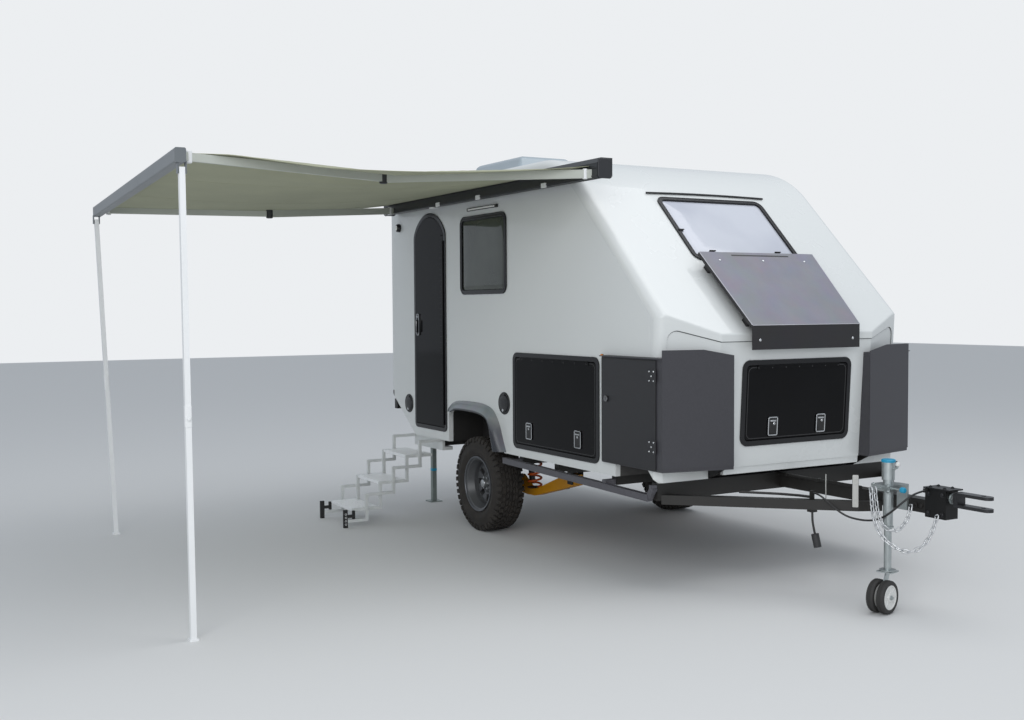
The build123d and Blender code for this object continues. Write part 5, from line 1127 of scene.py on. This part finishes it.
def add_tyre(bm, hub, blocks, depth):
    """Adds a tyre with staggered tread blocks and shoulder lugs."""
    other = [(radius, -across) for radius, across in reversed(TYRE_SIDE[:-1])]
    add_ring(bm, (*TYRE_SIDE, *other), hub, 96)
    pitch = 2 * math.pi / blocks
    top = TYRE_CROWN
    base = top - depth
    for half in SIDES:
        lead = 0.25 if half > 0 else 0
        for near, far, share, skew, shift in TREAD_ROWS:
            section = (
                (base - 0.002, near), (top, near + 0.001), (top - 0.0006, far - 0.001), (base - 0.003, far))
            for index in range(blocks):
                start = pitch * (index + 0.5 * shift + lead)
                add_lug(bm, hub, start, pitch * share, half, section, pitch * skew)
        for index in range(blocks):
            foot = 0.338 if index % 2 else 0.351
            section = (
                (base - 0.004, 0.094), (top - 0.0015, 0.095), (top - 0.0050, 0.1085), (top - 0.0150, 0.1165),
                (foot, 0.1215), (foot - 0.003, 0.1120))
            add_lug(bm, hub, pitch * (index + 0.5 + lead), pitch * LUG_SHARE, half, section, 0.0)


def add_lug(bm, hub, start, width, half, section, skew):
    """Adds one block of the tread from its section of (radius, distance from the middle) pairs."""
    near = section[0][1]
    far = section[-1][1]
    rings = []
    for part, ease in ((0, LUG_EASE), (0.08, 0), (0.92, 0), (1, LUG_EASE)):
        ring = []
        for radius, across in section:
            turn = start + width * part + skew * (across - near) / max(far - near, 0.001)
            out = radius - ease
            ring.append(hub @ Vector((out * math.cos(turn), out * math.sin(turn), half * across)))
        rings.append(ring)
    skin(bm, rings)


# Chassis and coupling

class OBJECT_OT_trailer_chassis(bpy.types.Operator):
    """Finish the chassis, the sliders, the bumper and the drawbar with their small parts"""
    bl_idname = "object.trailer_chassis"
    bl_label = "Chassis"

    def execute(self, context):
        black = dusty("chassis_coat", (0.006, 0.006, 0.006), (0.050, 0.042, 0.033), 0.2, 0.85, (0.40, 0.55))
        paint(black, "main_rails", "cross_members", "drawbar", "front_beam", "rear_bumper", "drawbar_clips")
        paint("slider_coat", "side_sliders")
        bolts = [
            (add_nut, at(RAIL_BOLTS[0], side * y, RAIL_BOLTS[2], DOWNWARD), 0.012, 0.009)
            for side in SIDES for y in RAIL_BOLTS[1]]
        stations, y, z = DRAWBAR_BOLTS
        bolts += [(add_nut, at(x, y, z, TO_RIGHT), 0.012, 0.009) for x in stations]
        build("frame_bolts", "trailer", black, bolts)
        place = at(*STRAP[0], STRAP[1])
        strap = [(add_pad, place, 0.036, 0.198, 0.006, 0.003, 0.001)]
        strap += [
            (add_nut, moved(place, 0, rise, 0.002), 0.006, 0.004) for rise in STRAP_BOLTS]
        strap.append((sweep, [spot(*point) for point in RIGGING_PIN], 0.0035, 10))
        build("strap_and_pin", "trailer", "plated_bolt", strap)
        rods = [(sweep, [spot(*point) for point in BRAKE_ROD], 0.010, 14)]
        stations, y, z = ROD_CLIPS
        rods += [(add_bar, at(x, y, z, UPWARD), 0.030, 0.018, 0.023) for x in stations]
        for offset in CONDUIT_OFFSETS:
            rods.append((sweep, [spot(x, y + offset, z) for x, y, z in CONDUIT], 0.007, 10))
        build("drawbar_rod_and_conduits", "trailer", black, rods)
        return {"FINISHED"}


class OBJECT_OT_trailer_coupling(bpy.types.Operator):
    """Finish the coupling, and make the jack's wheels and crank and the safety chains"""
    bl_idname = "object.trailer_coupling"
    bl_label = "Coupling, jack and chains"

    def execute(self, context):
        paint("coupler_coat", "coupler_block")
        paint("forged_steel", "coupling_fork")
        paint("zinc_plate", "jack_outer_tube", "jack_inner_tube", "jack_caster_fork")
        paint("dull_zinc", "corner_steadies")
        paint("grip_blue", "jack_grips")
        bolts = []
        for x in COUPLER_BOLTS_X:
            for z in COUPLER_BOLTS_Z:
                for side in SIDES:
                    bolts.append((add_nut, at(x, side * COUPLER_HALF, z, (0, side, 0)), 0.011, 0.009))
            bolts += [(add_nut, at(x, y, COUPLER_TOP, UPWARD), 0.009, 0.007) for y in COUPLER_TOP_BOLTS_Y]
        build("coupler_bolts", "trailer", "forged_steel", bolts)
        shaft = at(*ROLL_SHAFT, AHEAD)
        build("roll_shaft_nut", "fork", "zinc_plate", [
            (add_lathe, ((0.032, 0), (0.032, 0.004)), shaft, 30),
            (add_lathe, ((0.030, 0.004), (0.030, 0.018), (0.024, 0.022)), shaft, 6)])
        x, y, z = STEADY_CLIP
        clips = [(add_bar, at(x, side * y, z, UPWARD), 0.047, 0.047, 0.024) for side in SIDES]
        build("steady_clips", "trailer", "grip_blue", clips)
        add_jack_wheels()
        add_jack_fittings()
        add_chains()
        return {"FINISHED"}


def add_jack_wheels():
    """Makes the jack's ribbed tyres, their hubs and the axle's nuts."""
    for side, name in ((-1, "inner"), (1, "outer")):
        hub = at(*JACK_AXLE, (side * math.cos(JACK_YAW), side * math.sin(JACK_YAW), 0))
        rubber = [(add_ring, JACK_TYRE, hub, 64)]
        tyre = build("jack_tyre_" + name, "caster_wheels", "wheel_rubber", rubber, 30)
        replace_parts(tyre, "jack_wheels")
        centre = [(add_ring, JACK_HUB, hub, 64)]
        for spoke in range(8):
            turn = moved(hub @ Matrix.Rotation(math.radians(45 * spoke), 4, "Z"), 0.046, 0, 0.0495)
            centre.append((add_pad, turn, 0.036, 0.007, 0.0015, 0.004, 0.001))
        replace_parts(build("jack_hub_" + name, "caster_wheels", "cap_white", centre, 30), "jack_wheels")
        build("jack_axle_nut_" + name, "caster_wheels", "zinc_plate", [(add_lathe, JACK_AXLE_NUT, hub, 6)])


def add_jack_fittings():
    """Makes the jack's crank with its knob, its clamp's bolts, its collar and its cap's ribs."""
    x, y = JACK_SPOT
    metal = [
        (sweep, [spot(x + out, y, z) for out, z in JACK_CRANK], 0.006, 12),
        (add_lathe, JACK_COLLAR, at(x, y, JACK_COLLAR_Z, UPWARD), 36)]
    for height in JACK_CLAMP_Z:
        metal += [
            (add_nut, at(bolt_x, y - 0.036, height, TO_RIGHT), 0.008, 0.006) for bolt_x in JACK_CLAMP_X]
    build("jack_crank_and_bolts", "trailer", "zinc_plate", metal)
    knob = at(x + JACK_CRANK[-1][0], y, JACK_KNOB_Z, UPWARD)
    build("jack_crank_knob", "trailer", "cap_white", [(add_lathe, JACK_KNOB, knob, 24)])
    ribs = []
    for index in range(JACK_RIBS):
        spin = Matrix.Rotation(2 * math.pi * index / JACK_RIBS, 4, "Z")
        turn = Matrix.Translation(spot(x, y, JACK_CAP_Z)) @ spin
        rib = turn @ placed((JACK_CAP_RADIUS, 0, 0), AHEAD)
        ribs.append((add_pad, rib, 0.006, 0.012, 0.0015, 0.002, 0.0005))
    build("jack_cap_ribs", "trailer", "grip_blue", ribs)


def nurbs_curve(name, route):
    """A curve of one order-3 spline whose control points are the route's points."""
    curve = bpy.data.curves.new(name, "CURVE")
    curve.dimensions = "3D"
    spline = curve.splines.new("NURBS")
    spline.points.add(len(route) - 1)
    for point, place in zip(spline.points, route):
        point.co = (*spot(*place), 1)
    spline.order_u = 3
    spline.use_endpoint_u = True
    spline.resolution_u = 12
    return curve


def stops_along(name, route, pitch):
    """Points an odd number of equal steps apart along a route's own spline."""
    curve = nurbs_curve(name, route)
    line = bpy.data.objects.new(name, curve)
    drawn = bpy.data.meshes.new_from_object(line)
    points = [vertex.co.copy() for vertex in drawn.vertices]
    bpy.data.objects.remove(line)
    bpy.data.curves.remove(curve)
    bpy.data.meshes.remove(drawn)
    lengths = [0.0]
    for before, after in zip(points, points[1:]):
        lengths.append(lengths[-1] + (after - before).length)
    count = int(lengths[-1] / pitch)
    count -= 1 - count % 2
    stops = []
    place = 0
    for index in range(count + 1):
        goal = lengths[-1] * index / count
        while place < len(points) - 2 and lengths[place + 1] < goal:
            place += 1
        share = (goal - lengths[place]) / (lengths[place + 1] - lengths[place])
        stops.append(points[place].lerp(points[place + 1], share))
    return stops


def add_chains():
    """Links the two safety chains, flat and edgeways in turn."""
    straight = CHAIN_HALF_L - CHAIN_HALF_W
    loop = []
    for side in (1, -1):
        for step in range(7):
            angle = math.radians(-90 + 30 * step)
            out = straight + CHAIN_HALF_W * math.cos(angle)
            loop.append((side * out, side * CHAIN_HALF_W * math.sin(angle)))
    links = []
    for number, route in enumerate(CHAIN_ROUTES):
        stops = stops_along("chain_route_" + str(number), route, CHAIN_PITCH)
        for index, (before, after) in enumerate(zip(stops, stops[1:])):
            along = (after - before).normalized()
            side = along.cross(Vector((0, 1, 0))).normalized()
            across = side.cross(along).normalized() if index % 2 else side
            middle = (before + after) / 2
            links.append((sweep, [middle + u * along + v * across for u, v in loop], CHAIN_WIRE_R, 8, True))
    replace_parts(build("safety_chain_links", "trailer", "galvanised_link", links, 60), "safety_chains")


# Awning

class OBJECT_OT_trailer_awning(bpy.types.Operator):
    """Hang the awning cloth between its case and its lead rail, and finish its metalwork"""
    bl_idname = "object.trailer_awning"
    bl_label = "Awning"

    def execute(self, context):
        settings = context.scene.trailer_awning
        paint("case_paint", "awning_case")
        paint("rail_anodised", "awning_lead_rail")
        paint("arm_enamel", "awning_arms")
        paint("leg_enamel", "awning_leg_front", "awning_leg_rear")
        add_cloth(woven(tuple(settings.cloth)), settings.sag, settings.seams)
        add_awning_trim()
        add_awning_brackets()
        add_leg_sleeves()
        return {"FINISHED"}


def woven(colour):
    """The cloth's finish."""
    finish, shader = blank("awning_weave")
    place = own_place(finish)
    wide = cloud(finish, place, 1.3, 4.0, 0.6)
    ramp = spread(finish, wide, "Fac", (0.3, times(colour, 0.86)), (0.7, colour))
    join(finish, ramp, "Color", shader, "Base Color")
    shader.inputs["Roughness"].default_value = 0.85
    relief(finish, shader, place, 900, 2.0, 0.5, 0.35, 0.0004)
    return finish


def lead_point(x, across, up):
    """A point on the awning's lead rail at a distance along the trailer."""
    share = (x - LEAD_REAR[0]) / (LEAD_FRONT[0] - LEAD_REAR[0])
    y = LEAD_REAR[1] + (LEAD_FRONT[1] - LEAD_REAR[1]) * share
    z = LEAD_REAR[2] + (LEAD_FRONT[2] - LEAD_REAR[2]) * share
    return spot(x, y + across, z + up)


def cloth_point(x, share, sag):
    """A point of the cloth between the case at share 0 and the lead rail at share 1, over the arms."""
    reach = (x - CLOTH_ENDS[0]) / (CLOTH_ENDS[1] - CLOTH_ENDS[0])
    hang = sag * 4 * share * (1 - share)
    ripple = 0.0022 * math.sin(9 * math.pi * reach + 2.4 * share) * math.sin(math.pi * share)
    point = spot(x, *CASE_EDGE).lerp(lead_point(x, 0.034, 0.026), share)
    level = point.z + ripple - hang
    for joints in ARM_JOINTS:
        for start, end in zip(joints, joints[1:]):
            start = spot(*start)
            line = spot(*end) - start
            flat = line.xy
            along = max(0.0, min(1.0, (point.xy - start.xy).dot(flat) / flat.length_squared))
            away = (point.xy - start.xy - along * flat).length
            crest = start.z + along * line.z + ARM_CREST - ARM_SPREAD * max(0.0, away - ARM_HALF_WIDTH)
            level = max(level, min(crest, point.z + ripple))
    return Vector((point.x, point.y, level))


def add_cloth(finish, sag, seams):
    """Makes the awning's cloth with its seams and its side hems."""
    bm = bmesh.new()
    x0, x1 = CLOTH_ENDS
    width = x1 - x0
    shares = [row / CLOTH_ROWS for row in range(CLOTH_ROWS + 1)]
    grid = []
    for column in range(CLOTH_COLUMNS + 1):
        x = x0 + width * column / CLOTH_COLUMNS
        grid.append([bm.verts.new(cloth_point(x, share, sag)) for share in shares])
    flat = 0.0
    for left, right in zip(grid, grid[1:]):
        for row in range(CLOTH_ROWS):
            face = bm.faces.new((left[row], right[row], right[row + 1], left[row + 1]))
            flat += face.calc_area()
    cloth = add_piece("awning_sheet", bm, "trailer", finish, 60)
    thick = cloth.modifiers.new("thickness", "SOLIDIFY")
    thick.thickness = CLOTH_THICK
    thick.offset = 0
    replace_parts(cloth, "awning_cloth")
    bands = []
    lines = [(x0 + width * (index + 1) / (seams + 1), 0.024) for index in range(seams)]
    for x, band in [(x0 + HEM_INSET, 0.030), (x1 - HEM_INSET, 0.030)] + lines:
        rings = []
        for share in shares:
            left = cloth_point(x - band / 2, share, sag)
            right = cloth_point(x + band / 2, share, sag)
            rings.append([left - HEM_LIFT, right - HEM_LIFT, right + HEM_LIFT, left + HEM_LIFT])
        bands.append((skin, rings))
    hems = build("awning_hems", "trailer", finish, bands, 40)


def add_awning_trim():
    """Makes the case's end caps and mouldings and the arms' elbows."""
    trim = []
    for x, facing in zip(CASE_ENDS, (ASTERN, AHEAD)):
        place = at(x, *CASE_CAP, facing)
        screws = [(place @ Vector((u, v, 0.007)), facing) for u, v in CASE_CAP_SCREWS]
        trim += [(add_pad, place, 0.112, 0.132, 0.020, 0.007, 0.003), (add_screws, screws, 0.004, 0.002)]
    run = CASE_ENDS[1] - CASE_ENDS[0] - 0.020
    middle = (CASE_ENDS[0] + CASE_ENDS[1]) / 2
    for z, height, thick in CASE_LINES:
        trim.append((add_pad, at(middle, CASE_FACE_Y, z, TO_RIGHT), run, height, height * 0.3, thick, 0.001))
    trim += [(add_lathe, ARM_ELBOW, at(*elbow, UPWARD), 32) for _, elbow, _ in ARM_JOINTS]
    build("awning_trim", "trailer", "knuckle_cast", trim)


def add_awning_brackets():
    """Makes the case's wall brackets and the arms' end knuckles."""
    pale = [
        (add_pad, at(x, CASE_FACE_Y, CASE_BRACKETS_Z, TO_RIGHT), 0.064, 0.034, 0.005, 0.010, 0.002)
        for x in CASE_BRACKETS_X]
    pale.append((add_pad, at(*CASE_JOINT, DOWNWARD, (0, 1, 0)), 0.070, 0.050, 0.006, 0.012, 0.003))
    for shoulder, elbow, wrist in ARM_JOINTS:
        for end, facing in ((shoulder, UPWARD), (wrist, DOWNWARD)):
            toward = (Vector(elbow) - Vector(end)).normalized()
            pale.append((add_lathe, ARM_KNUCKLE, at(*(Vector(end) + toward * 0.050), facing), 28))
    build("awning_brackets", "trailer", "leg_enamel", pale)


def add_leg_sleeves():
    """Makes the awning legs' clamp sleeves with their knobs."""
    for body, facing, foot, head in LEGS:
        low, high = (
            spot(*foot).lerp(spot(*head), (height - foot[2]) / (head[2] - foot[2]))
            for height in LEG_SLEEVE_Z)
        along = high - low
        build("awning_" + body + "_sleeve", body, "leg_enamel", [
            (add_bar, placed(low, along, (0, 1, 0)), 0.037, 0.037, along.length, 0.003),
            (add_lathe, LEG_KNOB, placed(low.lerp(high, 0.4), (facing, 0, 0)), 20)])


# Steps and leads

class OBJECT_OT_trailer_steps(bpy.types.Operator):
    """Finish the entry steps and make the rings on their treads"""
    bl_idname = "object.trailer_steps"
    bl_label = "Entry steps"

    def execute(self, context):
        paint("step_alloy", "entry_steps", "step_mount")
        paint("foot_rubber", "step_feet")
        middle = (STEP_ENDS[0] + STEP_ENDS[1]) / 2
        width = STEP_ENDS[1] - STEP_ENDS[0]
        plates = []
        for index in range(TREADS):
            y = STEP_EDGE[0] - STEP_RUN * index
            z = STEP_EDGE[1] - STEP_RISE * index
            top = at(middle, y - 0.116, z, UPWARD, (0, 1, 0))
            plates.append((add_pad, top, width - 0.006, TREAD_DEPTH, 0.010, 0.0012, 0.0004))
            nosing = at(middle, y - 0.232, z - 0.012, TO_RIGHT)
            plates.append((add_pad, nosing, width - 0.006, 0.024, 0.006, 0.004, 0.0015))
            for line in range(DIMPLE_ROWS):
                for column in range(DIMPLE_COLUMNS):
                    across = -width / 2 + 0.034 + 0.018 * (line % 2) + column * DIMPLE_PITCH[0]
                    if across <= width / 2 - 0.030:
                        place = moved(top, across, -0.088 + DIMPLE_PITCH[1] * line, 0.0012)
                        plates.append((add_ring, DIMPLE, place, 14))
        build("tread_plates", "trailer", "tread_alloy", plates)
        eyelets = [
            (add_ring, EYELET, at(x, STEP_FEET_Y, z, (facing, 0, 0)), 16)
            for x, facing in STEP_FEET for z in STEP_FEET_HOLES]
        build("foot_eyelets", "trailer", "tread_alloy", eyelets)
        return {"FINISHED"}


class OBJECT_OT_trailer_leads(bpy.types.Operator):
    """Run the loop lead and the plug lead along the drawbar"""
    bl_idname = "object.trailer_leads"
    bl_label = "Leads"

    def execute(self, context):
        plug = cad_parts["lead_plug"]
        leads = (
            ("loop_lead_line", LOOP_LEAD, 0.012, "loop_lead", "object", ()),
            ("plug_lead_line", PLUG_LEAD, 0.014, "plug_lead", "plug", (plug,)))
        for name, route, diameter, node, far_end, others in leads:
            curve = nurbs_curve(name, route)
            curve.bevel_depth = diameter / 2
            curve.bevel_resolution = 5
            curve.use_fill_caps = True
            curve.materials.append(coat_of("lead_sheath"))
            lead = bpy.data.objects.new(name, curve)
            context.scene.collection.objects.link(lead)
            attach(lead, "trailer")
            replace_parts(lead, node)
        paint("plug_moulding", "lead_plug")
        return {"FINISHED"}


# Panel

OPERATORS = (
    OBJECT_OT_trailer_camera, OBJECT_OT_trailer_stage, OBJECT_OT_trailer_leads, OBJECT_OT_trailer_shell,
    OBJECT_OT_trailer_doors, OBJECT_OT_trailer_steelwork, OBJECT_OT_trailer_running_gear,
    OBJECT_OT_trailer_chassis, OBJECT_OT_trailer_coupling, OBJECT_OT_trailer_awning, OBJECT_OT_trailer_steps)
SETTINGS = (
    (TrailerShellSettings, "trailer_shell"), (TrailerAwningSettings, "trailer_awning"),
    (TrailerWheelSettings, "trailer_wheel"), (TrailerStageSettings, "trailer_stage"))


class VIEW3D_PT_trailer(bpy.types.Panel):
    """Lists the pieces of the trailer and their settings"""
    bl_idname = "VIEW3D_PT_trailer"
    bl_label = "Camper trailer"
    bl_space_type = "VIEW_3D"
    bl_region_type = "UI"
    bl_category = "Trailer"

    def draw(self, context):
        layout = self.layout
        for operator in OPERATORS:
            layout.operator(operator.bl_idname)
        for group, name in SETTINGS:
            box = layout.box()
            settings = getattr(context.scene, name)
            for entry in group.__annotations__:
                box.prop(settings, entry)


def register():
    """Registers the settings, the operators and the panel."""
    for group, name in SETTINGS:
        bpy.utils.register_class(group)
        setattr(bpy.types.Scene, name, PointerProperty(type=group))
    for entry in (*OPERATORS, VIEW3D_PT_trailer):
        bpy.utils.register_class(entry)


def unregister():
    """Takes out the panel, the operators and the settings."""
    for entry in (VIEW3D_PT_trailer, *reversed(OPERATORS)):
        bpy.utils.unregister_class(entry)
    for group, name in reversed(SETTINGS):
        delattr(bpy.types.Scene, name)
        bpy.utils.unregister_class(group)


def main():
    """Makes the whole trailer."""
    register()
    for operator in OPERATORS:
        group, action = operator.bl_idname.split(".")
        getattr(getattr(bpy.ops, group), action)()


if __name__ == "__main__":
    main()
